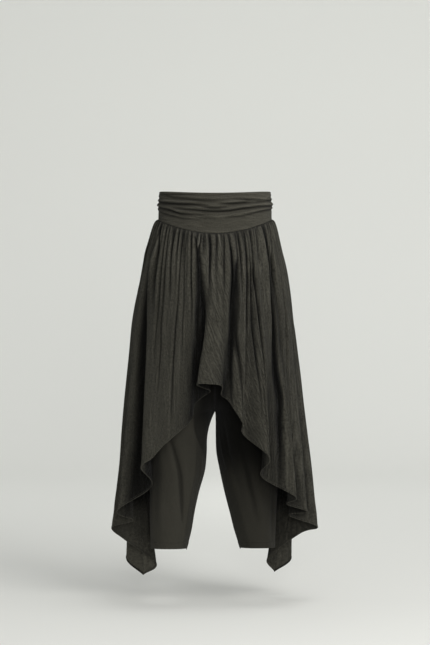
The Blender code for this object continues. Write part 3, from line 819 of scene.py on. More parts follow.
def skirtShade(angles, drop, relief, outward, z, isFront):
    # Painted shade on each point, from 0 to 1: in the valleys, close under the band, and on the
    # front where the panel's inside shows and under the last fold
    darkAt = np.minimum(valleyShade["darkAt"][0] + valleyShade["darkGrows"][0] * drop,
                        valleyShade["darkAt"][1] + valleyShade["darkGrows"][1] * drop)
    darkAt = np.minimum(darkAt, valleyShade["darkMost"])
    power = np.exp(-drop / valleyShade["powerFades"])
    power = valleyShade["power"] + valleyShade["powerMore"] * power
    below = np.clip(-relief / darkAt, 0.0, 1.0) ** power
    atBand = valleyShade["atBand"] * np.exp(-(drop / valleyShade["bandFades"]) ** 2)
    below = np.maximum(below, atBand)
    if isFront:
        turned = softStep(*turnedInside["facing"], outward[..., 1])
        turned = turned * softStep(*turnedInside["from"], z)
        less = turnedInside["tipsLess"] * softStep(*turnedInside["tips"], np.abs(angles))
        below = np.maximum(below, turned * (turnedInside["dark"] - less))
        shaded = np.exp(-((angles - underFold["at"]) / underFold["wide"]) ** 2)
        shaded = shaded * softStep(*underFold["from"], z)
        below = np.maximum(below, underFold["dark"] * shaded)
    return below


def skirtPoints(angle, share, isFront):
    # The base with its relief, moved square to it and level, and along the cloth where a
    # ridge leans. Also gives the drop below the band, and the painted shade from skirtShade.
    first = panelStart(isFront)
    nudge = 0.15               # degrees to each side, for the direction along the cloth
    points = skirtBase(angle, share, isFront)
    before = np.maximum(angle - nudge, first)
    after = np.minimum(angle + nudge, first + 180.0)
    across = skirtBase(after, share, isFront) - skirtBase(before, share, isFront)
    perDegree = np.linalg.norm(across, axis=-1) / (after - before)
    across[..., 2] = 0.0
    along = unitVectors(across)
    outward = np.stack([along[..., 1], -along[..., 0], 0.0 * along[..., 0]], axis=-1)
    drop = sewnHeight(angle) - points[..., 2]
    angles = np.broadcast_to(angle, drop.shape)
    relief, shift = skirtRelief(angles, drop, share, perDegree, isFront)
    points = points + outward * relief[..., None] + along * shift[..., None]
    return points, drop, skirtShade(angles, drop, relief, outward, points[..., 2], isFront)


foldShadow = {
    "step": 0.5,               # degrees
    "within": 7.0,             # degrees to each side that a fold's outside is looked for
    "depthWeight": 1.25,       # the oval is shallower than it is wide
    "free": 6.0,               # depth without shade, and from there the depth to full shade
    "dark": 20.0,
    "tips": (-700.0, -790.0),  # the corner tips hang free of the folds and catch the light
    "openAt": (28.0, 58.0),    # two folds of the front hem lie open to the light, at these
    "openWide": 8.0,           # degrees and this wide,
    "openShare": (0.85, 0.5),  # and lose these shares of the shade
}


def foldShade(points, angle):
    # Painted shade: how far each point lies inside a big fold, from 0 to 1. Its distance from
    # the garment's middle line is compared with the greatest one within some degrees on the same
    # row, on an even grid of angles, and the difference is divided by the depth that is fully
    # dark.
    first = angle[0]
    step = foldShadow["step"]
    wide = int(foldShadow["within"] / step)
    count = int(180.0 / step) + 1

    def around(values):
        padded = np.pad(values, ((0, 0), (wide, wide)), mode="edge")
        return np.lib.stride_tricks.sliding_window_view(padded, 2 * wide + 1, axis=1)

    nearest = np.clip(np.searchsorted(angle, first + step * np.arange(count)), 0, len(angle) - 1)
    reach = np.hypot(points[..., 0], points[..., 1] * foldShadow["depthWeight"])
    outer = around(around(reach[:, nearest]).max(axis=2)).mean(axis=2)
    back = np.clip(np.rint((angle - first) / step).astype(int), 0, count - 1)
    inside = np.clip((outer[:, back] - reach - foldShadow["free"]) / foldShadow["dark"], 0.0, 1.0)
    inside = inside * (1 - softStep(*foldShadow["tips"], points[..., 2]))
    away = (angle[:, None] - foldShadow["openAt"]) / foldShadow["openWide"]
    return inside * (1 - (foldShadow["openShare"] * np.exp(-away ** 2)).max(axis=1))


besideLeg = {                  # painted shade on the back panel's inside beside the legs
    "left": -163.0,
    "right": 153.0,
    "wide": 9.0,
    "dark": 0.65,
    "from": (-640.0, -720.0),  # heights over which the shade sets in and ends
    "to": (-790.0, -860.0),
}


def legShade(points):
    # Painted shade, darkest on two upright lines beside the legs, fading with
    # exp(-(distance / wide)^2)
    nearLeft = np.exp(-((points[..., 0] - besideLeg["left"]) / besideLeg["wide"]) ** 2)
    nearRight = np.exp(-((points[..., 0] - besideLeg["right"]) / besideLeg["wide"]) ** 2)
    run = softSpan(besideLeg["from"], besideLeg["to"], points[..., 2])
    return besideLeg["dark"] * np.maximum(nearLeft, nearRight) * run


def skirtAngles(isFront, count):
    # Columns spaced by the hem's length and the waist's together, half each
    first = panelStart(isFront)
    angle = np.linspace(first, first + 180.0, 1441)
    steps = np.linalg.norm(np.diff(skirtHem(angle, isFront), axis=0), axis=-1)
    hemShare = np.concatenate([[0.0], np.cumsum(steps)]) / steps.sum()
    waistShare = (angle - first) / 180.0
    return np.interp(np.linspace(0.0, 1.0, count), (hemShare + waistShare) / 2, angle)


crinkleRun = {                 # where the crinkles drift to the right on their way down
    "tongueFrom": (-19.0, -13.0),  # degrees over which the centre tongue begins and ends
    "tongueTo": (9.0, 14.0),
    "tongueSlant": 0.5,        # far below the band
    "tongueBend": 160.0,       # drop after which the slant is about three quarters of that
    "rightFrom": (12.0, 18.0),
    "rightTo": (44.0, 58.0),
    "rightSlant": 0.4,
    "rightBend": 60.0,
    "rightBelow": 240.0,       # the panel to the right slants only below this drop
}


def crinkleSlant(angle, drop):
    # Metres by which the crinkles drift to the right on their way down, on the centre tongue
    # and low on the panel to its right: slant drop^2 / (drop + bend)
    tongue = softSpan(crinkleRun["tongueFrom"], crinkleRun["tongueTo"], angle)
    right = softSpan(crinkleRun["rightFrom"], crinkleRun["rightTo"], angle)
    lower = np.maximum(drop - crinkleRun["rightBelow"], 0.0)
    slant = crinkleRun["tongueSlant"] * tongue * drop ** 2 / (drop + crinkleRun["tongueBend"])
    return (slant + crinkleRun["rightSlant"] * right * lower ** 2
            / (lower + crinkleRun["rightBend"])) * mm


crinkleLess = {                # where the cloth hangs smoother
    "leftHalf": 0.5,           # by this share on the front's left half
    "leftTo": (-21.0, -15.0),  # degrees over which that half ends
    "backCorners": 0.6,        # and by this one on the back's corners
    "cornersFrom": (-600.0, -720.0),   # heights over which they set in
}


def crinkleShare(angle, z, isFront):
    # How crinkled the cloth is, from 0 to 1: the front's left half hangs smoother, and so do
    # the back panel's corners
    if isFront:
        less = crinkleLess["leftHalf"]
        return 1 - less + less * softStep(*crinkleLess["leftTo"], angle) + 0.0 * z
    return 1 - crinkleLess["backCorners"] * softStep(*crinkleLess["cornersFrom"], z)


skirtTone = {
    "tips": (-790.0, -850.0),  # heights over which the left corner tip gets painted light
    "right": (0.0, 60.0),      # places across that part the left tip from the right one,
    "rightDark": 0.22,         # which gets a little painted shade instead
    "crest": 1.3,              # painted highlight on the crests over this drop below the band
    "crestFades": 130.0,
    "crestPower": 1.5,         # above 1: only the tops of the crests
}


def makeOverskirt(name, node, isFront):
    # A sheet of rows down the skirt, closer together near the band. The texture runs down by
    # the drop, and across by the distance along one row.
    angle = skirtAngles(isFront, overskirt["columns"])
    even = np.linspace(0.0, 1.0, overskirt["rows"])
    points, drop, below = skirtPoints(angle, (even ** overskirt["rowPower"])[:, None], isFront)
    along = runAlong(points[int(overskirt["rows"] * overskirt["evenAt"])]) * mm
    u = along - crinkleSlant(angle if isFront else angle - 180.0, drop)
    uv = np.stack([u, -drop * mm], axis=-1)
    # Painted highlights on the left tip and the crests, painted shade in folds and beside legs
    tip = softStep(*skirtTone["tips"], points[..., 2])
    right = softStep(*skirtTone["right"], points[..., 0])
    crest = skirtTone["crest"] * np.exp(-(drop / skirtTone["crestFades"]) ** 2)
    crest = crest * (1 - below) ** skirtTone["crestPower"]
    pale = np.maximum(tip * (1 - right), crest)
    shade = 1 - ((1 - below) * (1 - foldShade(points, angle))
                 * (1 - skirtTone["rightDark"] * tip * right))
    if not isFront:
        shade = np.maximum(shade, legShade(points))
    masks = {"paintedHighlight": pale, "paintedShade": shade,
             "crinkleShare": crinkleShare(angle, points[..., 2], isFront)}
    piece = clothSheet(name, points, uv, gauze, overskirt["thick"], masks)
    return placePiece(piece, "overskirt_cloth", node)


skirtHemBand = {
    "deep": 6.0,               # height of the turned hem
    "half": 1.0,               # half its thickness
    "pucker": 0.16,            # share of the thickness that comes and goes along it
    "columns": 620,
    "edgeHighlight": 1.3,               # height over which the edge gets a painted highlight
    "edgeShadeLoss": 0.75,         # share of the folds' painted shade that the edge loses
    "tips": (-838.0, -858.0),  # heights over which painted shade on the back's corner tips sets in
    "tipDark": 0.75,
    "stitchDrop": 0.9,         # the stitches run this far below the hem's upper edge
    "stitchesOut": 0.8,        # and this far out, as a share of half the thickness
}


def makeSkirtHem(name, isFront):
    # A flattened ring carried along the lower edge: each point of its profile is a depth up
    # the cloth from the edge and a distance out from the cloth's middle
    angle = skirtAngles(isFront, skirtHemBand["columns"])
    length = sewnHeight(angle) - skirtHem(angle, isFront)[:, 2]
    deep = skirtHemBand["deep"]
    half = skirtHemBand["half"]
    up = np.array([deep, deep - 0.5, deep * 0.55, 1.0, 0.1, -0.35,
                   0.1, 1.0, deep * 0.55, deep - 0.5, deep, deep * 0.6])
    out = np.array([0.3, 0.75, 1.0, 1.0, 0.66, 0.0, -0.66, -1.0, -1.0, -0.75, -0.3, 0.0]) * half
    middle, _, below = skirtPoints(angle, 1 - up[:, None] / length, isFront)
    rows = np.linspace(1.0, 0.0, 4)[:, None]
    patch, _, _ = skirtPoints(angle, 1 - deep * rows / length, isFront)
    outside = unitVectors(gridNormals(patch)[1:3].mean(axis=0))
    pucker = softNoise(np.arange(len(angle)) / 3.0, 0.0 * angle, 5)
    pucker = 1 + skirtHemBand["pucker"] * pucker
    points = middle + outside * (out[:, None] * pucker)[..., None]
    uv = np.stack(np.broadcast_arrays(runAlong(middle[5]) * mm, -up[:, None] * mm), axis=-1)
    # Painted highlight along the edge, painted shade in the folds and on the back's tips
    edgeHighlight = np.exp(-(up[:, None] / skirtHemBand["edgeHighlight"]) ** 2)
    border = 0.0
    if not isFront:
        border = skirtHemBand["tipDark"] * softStep(*skirtHemBand["tips"], middle[..., 2])
    pale = np.broadcast_to(edgeHighlight, points.shape[:2]) * (1 - border)
    shade = 1 - (1 - below) * (1 - foldShade(middle, angle))
    shade = np.maximum(shade * (1 - skirtHemBand["edgeShadeLoss"] * edgeHighlight), border)
    masks = {"paintedHighlight": pale, "paintedShade": shade,
             "crinkleShare": crinkleShare(angle, middle[..., 2], isFront)}
    piece = meshPiece(name, points, gridFaces(points, closed=True), uv, gauze, masks)
    placePiece(piece, "overskirt_cloth")
    seamAt = deep - skirtHemBand["stitchDrop"]
    seam = skirtPoints(angle, 1 - seamAt / length[None, :], isFront)[0][0]
    seam = seam + outside * (half * skirtHemBand["stitchesOut"])
    makeStitches(name + "Stitches", seam, outside, "overskirt_cloth")
    return piece


skirtFront = makeOverskirt("overskirtFrontCloth", "overskirt_front", True)
skirtBack = makeOverskirt("overskirtBackCloth", "overskirt_back", False)
hemFront = makeSkirtHem("overskirtFrontHem", True)
hemBack = makeSkirtHem("overskirtBackHem", False)
print("overskirt made")


# Waistband

band = {
    "columns": 300,
    "rows": 104,               # down the outside
    "stand": 2.5,              # how far the cloth stands out from the band's inside
    "edge": 4.4,               # how far it does so at the lower edge
    "edgeFrom": (0.9, 0.985),  # shares of the way down over which that edge sets in
    "edgeThin": 1.4,           # what is lost of it as the edge is turned in
    "least": 1.1,              # the cloth stands out by at least this much
    "rimTo": 0.06,             # share of the way down over which the folds set in
    "rimLess": 1.2,            # the cloth is thinner by this much at the rim,
    "rimThin": 0.05,           # over this share of the way down
    "sideBulk": 3.4,           # the folds are caught up in the side seams and stand out there,
    "bulkAt": 4.0,             # most of all at this height, and over this one to each side
    "bulkHigh": 13.0,
    "sideSlim": 1.6,           # the cloth is drawn in beside the side seams,
    "sideLess": 1.4,           # its outside by this much more
    "sideCalm": 0.5,           # and its folds lose this share of their depth
    "sidePower": 14,           # above 1: all of this stays close to the seams
    "ripple": 0.5,             # height of the small ripples
    "rimRound": 1.3,           # radius of the rolled rim
    "edgeRound": 0.9,          # and of the lower edge
    "seamUp": 5.2,             # height of the stitched seam over the lower edge
    "grooveDeep": 0.45,        # the seam lies in a groove
    "grooveWide": 0.9,
    "stitchesOut": 0.1,
    "insideRows": 14,
    "insideUneven": 0.15,      # height of the unevenness on the inside
    "cutWidth": 0.39,          # metres of cloth
}

# Valleys between the draped folds: angle round the band, height and depth
bandFront = (
    ((-88, 30.5, 0), (-70, 28.5, 1.6), (-45, 25.5, 1.8), (-20, 23.8, 1.6), (0, 23.2, 1.4),
     (25, 24, 0.9), (50, 27, 0)),
    ((-90, 34, 0), (-66, 30.1, 1.2), (-52, 20.8, 1.8), (-42, 16.6, 1.8), (-29, 13.8, 2.2),
     (-14, 9.8, 2.6), (-2, 8.3, 1.8), (9, 9.4, 0.7), (15, 10.5, 0)),
    ((14, 12, 0), (22, 12.9, 1.2), (33, 12.4, 2.6), (46, 12.4, 1.8), (58, 14, 0.6),
     (70, 20, 0.9), (90, 25, 1.4)),
    ((-90, 12, 3), (-75, 9.7, 3.4), (-52, 4.9, 4.2), (-37, 1.8, 4.4), (-25, 0.5, 4),
     (-12, -2.5, 1.6), (-5, -4, 0)),
    ((1, -1, 0), (6, 0, 1.4), (16, 1.5, 3.6), (29, 4.3, 3.4), (43, 6.9, 1.8),
     (58, 10.5, 2.6), (71, 13.1, 3.2), (90, 15, 3)),
    ((-16, -6.2, 0), (-12, -7.2, 1), (-5, -8.8, 2.8), (3, -9.1, 3), (11, -7.5, 1.2),
     (17, -6, 0)),
    ((-52, -5, 0), (-38, -9.5, 1.4), (-30, -11.4, 2.4), (-18, -13.9, 3.2), (-8, -16.1, 3.8),
     (3, -16.7, 4), (14, -15.5, 4), (28, -9.9, 4), (43, -5.3, 3.6), (55, -2.5, 3.2),
     (68, -0.4, 3.2), (90, 2.5, 3.2)),
    ((-90, 0.5, 2.8), (-68, -5.3, 3), (-49, -13, 3.8), (-36, -21.5, 3.6), (-25, -24.1, 2.6),
     (-14, -26, 1.2), (-4, -27, 0)),
    ((8, -32, 0), (15, -31, 1.4), (25, -28.2, 2.2), (36, -22.7, 2.6), (52, -14.8, 2.8),
     (71, -8.8, 2.8), (90, -5.5, 2.6)),
    ((-90, -9.5, 1), (-75, -13.5, 1.6), (-61, -19.4, 2), (-46, -27.4, 2.2),
     (-33, -33.7, 1.6), (-19, -37.3, 0.8), (-6, -39, 0)),
    ((-22, -31.5, 0), (-14, -32.4, 0.7), (-1, -35.8, 0.9), (12, -36.3, 0.6), (20, -36, 0)),
    ((-90, 22, 1.6), (-80, 20, 1.4), (-68, 16, 0.8), (-58, 12, 0)),
)
bandBack = (
    ((90, 25, 1.4), (104, 23, 1.8), (124, 18, 2.2), (146, 15, 1.6), (160, 14, 0)),
    ((150, 22, 0), (166, 19, 1.6), (186, 17, 2.4), (214, 19, 2.2), (240, 22, 1.4),
     (256, 25, 0)),
    ((90, 15, 3), (108, 11, 3.4), (130, 5, 3.8), (152, 1.5, 3), (170, 0, 1),
     (178, -0.5, 0)),
    ((172, 7.5, 0), (184, 6, 2), (204, 5, 3.6), (226, 7, 3.8), (250, 10, 3.2),
     (270, 12, 3)),
    ((90, 2.5, 3.2), (112, -1.5, 3.4), (134, -7.5, 3.6), (156, -11.5, 3.4), (180, -12.5, 3.8),
     (204, -9.5, 3.4), (228, -4.5, 2.8), (250, -2, 1.2), (262, -1, 0)),
    ((236, 1, 0), (246, 0.5, 2), (258, 0.5, 2.6), (270, 0.5, 2.8)),
    ((90, -5.5, 2.6), (110, -10, 2.6), (132, -18, 2.8), (152, -23.5, 2), (170, -26, 0.8),
     (180, -26.5, 0)),
    ((238, 14, 0), (250, 17.5, 0.8), (260, 20, 1.4), (270, 22, 1.6)),
    ((166, -30, 0), (180, -29.5, 1.6), (200, -26, 2.6), (222, -18, 3),
     (244, -11.5, 2.2), (258, -10, 1.2), (270, -9.5, 1)),
    ((140, -36, 0), (156, -37.5, 1), (176, -38.5, 1.2), (198, -36.5, 0.8), (212, -34, 0)),
)


bandValley = {
    "deeper": 1.85,            # the depths in the tables are multiplied by this
    "above": 1.7,              # half width of a valley above its line, and below it
    "below": 3.6,
    "power": 1.5,              # below 2: the valley is sharp at its bottom
    "lip": 0.55,               # height of the fold above a valley, as a share of its depth
    "lipUp": 4.4,              # how far above the line it is, and its half width
    "lipWide": 3.2,
    "darkAbove": 1.4,          # half width of the painted shade in it
    "darkBelow": 3.2,
    "darkAt": 5.6,             # depth that is fully dark
}


def bandRelief(angle, z, table):
    # A valley cuts in sharply under the fold above it and rises slowly below:
    # deep exp(-|t / wide|^1.5), narrow above and wide below, and a rounded lip above, where t
    # is the height over the valley's line. The second result is the painted shade of a valley
    # on each point, from 0 to 1.
    relief = np.zeros(z.shape)
    dark = np.zeros(z.shape)
    power = bandValley["power"]
    for valley in table:
        knots, heights, depths = (np.array(column, float) for column in zip(*valley))
        line = smoothThrough(knots, heights, np.clip(angle, knots[0], knots[-1]))
        deep = np.interp(angle, knots, depths, left=0.0, right=0.0) * bandValley["deeper"]
        t = z - line
        wide = np.where(t > 0, bandValley["above"], bandValley["below"])
        lip = np.exp(-((t - bandValley["lipUp"]) / bandValley["lipWide"]) ** 2)
        relief += deep * (bandValley["lip"] * lip - np.exp(-np.abs(t / wide) ** power))
        wide = np.where(t > 0, bandValley["darkAbove"], bandValley["darkBelow"])
        near = np.exp(-np.abs(t / wide) ** power)
        dark = np.maximum(dark, deep / bandValley["darkAt"] * near)
    return relief, np.clip(dark, 0.0, 1.0)


bandTone = {
    "crest": 0.7,              # painted highlight on the folds' crests
    "crestAt": 3.0,            # height of a crest that is fully so
    "right": (5.0, 60.0),      # degrees over which the front's right side sets in,
    "rightCrest": 0.7,         # where the crests get more of it,
    "rightPale": 0.25,         # and all of the cloth is painted paler
    # painted highlights on the rolled rim and on the lower edge
    "rim": 0.35,
    "lowerEdge": 0.2,
    "valley": 0.9,             # how dark the painted shade in the valleys is
}


def makeBand(name, node, isFront):
    # The outside down from the rim to the lower edge, round it, up the plain inside and over
    # the rolled rim, as one closed ring of rows. Each row has its heights and how far it
    # stands out from the band's inside.
    first = panelStart(isFront)
    angle = np.linspace(first, first + 180.0, band["columns"])
    top = rimHeight(angle)
    bottom = seamHeight(angle)
    lean = waist["bandLean"]
    rimRound = band["rimRound"]
    edgeRound = band["edgeRound"]

    share = np.linspace(0.0, 1.0, band["rows"])[:, None]
    z = top - rimRound + (bottom + edgeRound - top + rimRound) * share
    angles = np.broadcast_to(angle, z.shape)
    nearRim = softStep(0.0, band["rimTo"], share)
    relief, dark = bandRelief(angles, z, bandFront if isFront else bandBack)
    side = np.abs(np.sin(np.radians(angle))) ** band["sidePower"]
    relief = relief * nearRim * (1 - band["sideCalm"] * side)
    bulk = band["sideBulk"] * side * np.exp(-((z - band["bulkAt"]) / band["bulkHigh"]) ** 2)
    ripple = softNoise(angles / 7.0, z / 3.4, 31 if isFront else 32)
    ripple = band["ripple"] * ripple * nearRim * (1 - side)
    edge = (band["edge"] - band["stand"]) * softStep(*band["edgeFrom"], share)
    groove = np.exp(-((z - bottom - band["seamUp"]) / band["grooveWide"]) ** 2)
    stand = band["stand"] + relief + bulk + ripple + edge - band["grooveDeep"] * groove
    thin = band["rimLess"] * (1 - softStep(0.0, band["rimThin"], share))
    stand = stand - thin - side * (band["sideLess"] + edge)
    outside = lean * (top - z) / (top - bottom) + np.maximum(stand, band["least"])

    lowerTurn = np.radians(np.array([30.0, 75.0]))[:, None]
    lowerZ = bottom + edgeRound - edgeRound * np.sin(lowerTurn)
    lowerOut = lean + band["edge"] - band["edgeThin"] * (1 - np.cos(lowerTurn))
    lowerOut = np.broadcast_to(lowerOut, lowerZ.shape)
    insideShare = np.linspace(1.0, 0.0, band["insideRows"])[:, None]
    insideZ = top - rimRound + (bottom + 0.3 - top + rimRound) * insideShare
    uneven = softNoise(angles[:1] / 6.0, insideZ / 9.0, 33)
    insideOut = lean * insideShare + band["insideUneven"] * uneven
    rimTurn = np.radians(np.array([30.0, 60.0, 90.0, 120.0, 150.0]))[:, None]
    rimMiddle = (insideOut[-1] + outside[0]) / 2
    rimHalf = (outside[0] - insideOut[-1]) / 2
    rimZ = top - rimRound + rimRound * np.sin(rimTurn)
    rimOut = rimMiddle - rimHalf * np.cos(rimTurn)

    heights = np.concatenate([z, lowerZ, insideZ, rimZ])
    outs = np.concatenate([outside, lowerOut, insideOut, rimOut]) - band["sideSlim"] * side
    inner = oval(angle, waist["halfWidth"], waist["halfDepth"])
    square = unitVectors(oval(angle, waist["halfDepth"], waist["halfWidth"]))
    flat = inner[None] + square[None] * outs[..., None]
    points = np.concatenate([flat, heights[..., None]], axis=-1)
    u = np.broadcast_to((angle - first) / 180.0 * band["cutWidth"], heights.shape)
    uv = np.stack([u, -runAlong(points) * mm], axis=-1)

    # Painted highlights on crests, right side, rim and lower edge; painted shade in valleys
    toRight = softStep(*bandTone["right"], angles) if isFront else 0.0 * angles
    crest = bandTone["crest"] + bandTone["rightCrest"] * toRight
    crest = crest * np.clip(relief / bandTone["crestAt"], 0.0, 1.0)
    crest = crest + bandTone["rightPale"] * toRight * nearRim
    pale = np.concatenate([crest + bandTone["rim"] * (1 - nearRim),
                           bandTone["lowerEdge"] + 0.0 * lowerZ,
                           0.0 * insideZ, bandTone["rim"] + 0.0 * rimZ])
    shaded = np.concatenate([bandTone["valley"] * dark * nearRim, 0.0 * lowerZ,
                             0.0 * insideZ, 0.0 * rimZ])
    piece = meshPiece(name, points, gridFaces(points, closed=True), uv, bandCotton,
                      {"paintedHighlight": pale, "paintedShade": shaded})
    placePiece(piece, "band_cloth", node)
    level = np.argmin(np.abs(z - (bottom + band["seamUp"])), axis=0)
    line = points[level, np.arange(len(angle))]
    outside = np.concatenate([square, 0.0 * square[:, :1]], axis=-1)
    line = line + outside * band["stitchesOut"]
    makeStitches(name + "Stitches", line, outside, "band_cloth")
    return piece


bandFrontPiece = makeBand("waistbandFrontCloth", "waistband_front", True)
bandBackPiece = makeBand("waistbandBackCloth", "waistband_back", False)
print("waistband made")


# Trousers

trousers = {
    "thick": 1.0,
    "crotchRound": 12.0,       # the two legs run into each other with this roundness
    "crotchHeight": -500.0,
    "spring": 70.0,            # they reach their full size this far below the seam
    "sewnIn": 3.3,             # how far outside the band's inner face they are sewn in
    "columns": 84,             # across each panel
    "rows": 190,
    "rowShares": (0.0, 0.12, 0.48, 0.60, 0.91, 1.0),    # shares of the rows that end
    "rowHeights": (0.0, -150.0, -470.0, -530.0),        # at these heights,
    "hemRows": 20.0,           # this far above the hem, and at the hem
    "hemDeep": 16.0,           # height of the turned hem
    "hemStep": 0.7,            # how far it stands out,
    "hemStepOver": (1.2, -0.4),    # and the heights about its upper edge where that sets in
    "hemLift": 4.5,            # the hem is higher between its seams
    "inseamDrop": 3.5,         # and lower at the inseam
    "hemBends": 40.0,          # and the cloth this far above it still follows
    "overlap": 0.5,            # the two legs meet by this much over the middle line,
    "overlapFrom": (-512.0, -500.0),   # from these heights up
    "swell": 1.6,              # height of the cloth's wide unevenness
    "ripple": 0.5,             # and of the small one
    "sideCalm": 0.03,          # share of the way across over which they grow from the side
    "inseamCalm": 0.05,        # seam and from the inseam,
    "calmTo": (-20.0, -110.0),     # and the heights over which they set in below the band
    "seamDent": 0.8,           # depth of the dent along a seam
    "seamWide": 1.6,           # and its half width
    # painted highlight along the hem's lower edge
    "hemPale": 0.25,
    "stitchesOut": 0.55,
}
trouserSeeds = {"leftFront": 61, "rightFront": 62, "leftBack": 63, "rightBack": 64}


# Sections of a leg: height, how far its outer and inner side stand from the garment's centre
# line, and its half depth. An inner side below 0 means that the legs are still one hollow.
legSections = {
    "left": (
        (-20, 142, -142, 106),
        (-70, 147, -147, 108.5),
        (-150, 156, -155, 113),
        (-245, 167, -157, 119),
        (-340, 171, -128, 118),
        (-420, 170, -70, 112),
        (-500, 167, 0, 101),
        (-520, 166, 9, 98),
        (-560, 164, 19, 91),
        (-600, 162.5, 20.5, 83),
        (-640, 161, 24, 76),
        (-700, 160.5, 40, 67),
        (-750, 160, 51, 60),
        (-794, 158.5, 58.5, 54),
        (-836, 156, 70, 49),
    ),
    "right": (
        (-20, 142, -142, 106),
        (-70, 147, -147, 108.5),
        (-150, 156, -155, 113),
        (-245, 167, -157, 119),
        (-340, 170, -128, 118),
        (-420, 168, -70, 112),
        (-500, 163, 0, 101),
        (-520, 161.5, 1.5, 98),
        (-560, 158, 1.8, 91),
        (-600, 156, 3.5, 83),
        (-640, 154, 11, 76),
        (-700, 152, 24, 67),
        (-750, 149.5, 37, 60),
        (-790, 148, 47, 54),
        (-834, 146, 62, 49),
    ),
}

# Creases of each panel: share of the way from the side seam to the inseam at the crease's top
# and bottom, the heights of its top and bottom, its height (below 0 for a trough), half width
legCreases = {
    "leftFront": (
        (0.40, 0.72, -530, -800, -7.5, 8.5),
        (0.26, 0.24, -560, -840, -1, 9),
        (0.72, 0.73, -600, -840, 2.6, 7),
        (0.30, 0.38, -500, -800, 2.4, 14),
        (0.10, 0.14, -420, -700, -1.5, 8),
        (0.86, 0.86, -640, -800, -1.5, 8),
        (0.80, 0.93, -590, -850, 1.8, 3),
    ),
    "rightFront": (
        (0.62, 0.42, -520, -780, -4, 10),
        (0.50, 0.30, -540, -850, 3.4, 12),
        (0.80, 0.62, -520, -700, -2.6, 7),
        (0.90, 0.72, -540, -660, 2, 6),
        (0.72, 0.60, -640, -850, 2.4, 9),
        (0.22, 0.16, -600, -850, -2.4, 10),
    ),
    "leftBack": (
        (0.42, 0.52, -430, -850, -4, 11),
        (0.68, 0.60, -470, -760, 3.2, 12),
        (0.86, 0.74, -500, -640, -3, 8),
        (0.24, 0.30, -500, -840, 2.4, 11),
        (0.80, 0.82, -660, -840, -2, 8),
    ),
    "rightBack": (
        (0.46, 0.40, -430, -850, -4, 11),
        (0.64, 0.62, -470, -740, 3, 12),
        (0.88, 0.76, -500, -650, -3, 8),
        (0.22, 0.26, -520, -850, 2.6, 11),
        (0.78, 0.80, -640, -830, -2.2, 8),
    ),
}

# Facets of the cloth that turn away from the light, with painted shade: share of the way to the
# inseam where the facet's curved edge starts and ends, the heights there, and how dark it is
legFacets = {
    "leftFront": ((0.635, 0.95, -505.0, -622.0, 0.62), (0.71, 0.74, -600.0, -850.0, 0.28)),
    "rightBack": ((0.64, 0.93, -505.0, -630.0, 0.40),),
}


def legBase(side, share, z):
    # Oval section at each height, x = middle + half width cos(meet share) and
    # y = -half depth sin(meet share). Above the crotch the section ends on the plane between
    # the legs, with a round saddle: x becomes sqrt(x^2 - round^2). Near the band it grows out
    # of the band's own oval. It is the right front, and the other panels mirror it.
    heights, outers, inners, depths = np.array(legSections[side]).T
    crotchRound = trousers["crotchRound"]
    outer = smoothThrough(-heights, outers, -z)
    inner = smoothThrough(-heights, inners, -z)
    depth = smoothThrough(-heights, depths, -z)
    above = z > trousers["crotchHeight"]
    inner = np.where(above, inner + crotchRound,
                     np.sqrt(np.maximum(inner, 0.0) ** 2 + crotchRound ** 2))
    middle = (outer + inner) / 2
    halfWidth = (outer - inner) / 2
    meet = np.arccos(np.clip((crotchRound - middle) / halfWidth, -1.0, 1.0))
    reach = middle + halfWidth * np.cos(meet * share)
    x = np.sqrt(np.maximum(reach ** 2 - crotchRound ** 2, 0.0))
    y = -depth * np.sin(meet * share)
    angle = 90.0 * (1 - share)
    atBand = oval(angle, waist["halfWidth"] + trousers["sewnIn"],
                  waist["halfDepth"] + trousers["sewnIn"])
    near = 1 - (1 - np.clip((sewnHeight(angle) - z) / trousers["spring"], 0.0, 1.0)) ** 2
    x = atBand[..., 0] * (1 - near) + x * near
    y = atBand[..., 1] * (1 - near) + y * near
    return np.stack([x, y, z], axis=-1)


def legRelief(key, share, along, z, hem):
    # Height of the cloth over its base. A crease is high exp(-|distance / wide|^1.7) and
    # swells along its run with sin(pi t)^0.6. Creases and unevenness calm down at the seams
    # and the band, the turned hem stands out, and the seams are dented.
    relief = np.zeros(z.shape)
    for shareTop, shareBottom, top, bottom, high, wide in legCreases[key]:
        t = np.clip((top - z) / (top - bottom), 0.0, 1.0)
        line = (shareTop + (shareBottom - shareTop) * t) * along[:, -1:]
        relief += high * np.sin(np.pi * t) ** 0.6 * np.exp(-np.abs((along - line) / wide) ** 1.7)
    seed = trouserSeeds[key]
    relief += trousers["swell"] * softNoise(along / 55.0, z / 130.0, seed)
    relief += trousers["ripple"] * softNoise(along / 16.0, z / 60.0, seed + 10)
    calm = np.exp(-(share / trousers["sideCalm"]) ** 2)
    calm = calm + np.exp(-((1 - share) / trousers["inseamCalm"]) ** 2)
    relief *= (1 - np.clip(calm, 0, 1)) * softStep(*trousers["calmTo"], z)
    hemTop = hem + trousers["hemDeep"]
    above, below = trousers["hemStepOver"]
    hemStep = trousers["hemStep"] * softStep(hemTop + above, hemTop + below, z)
    dent = trousers["seamDent"] * np.exp(-(along / trousers["seamWide"]) ** 2)
    toInseam = (along[:, -1:] - along) / trousers["seamWide"]
    dent = dent + trousers["seamDent"] * np.exp(-toInseam ** 2)
    return relief + hemStep - dent


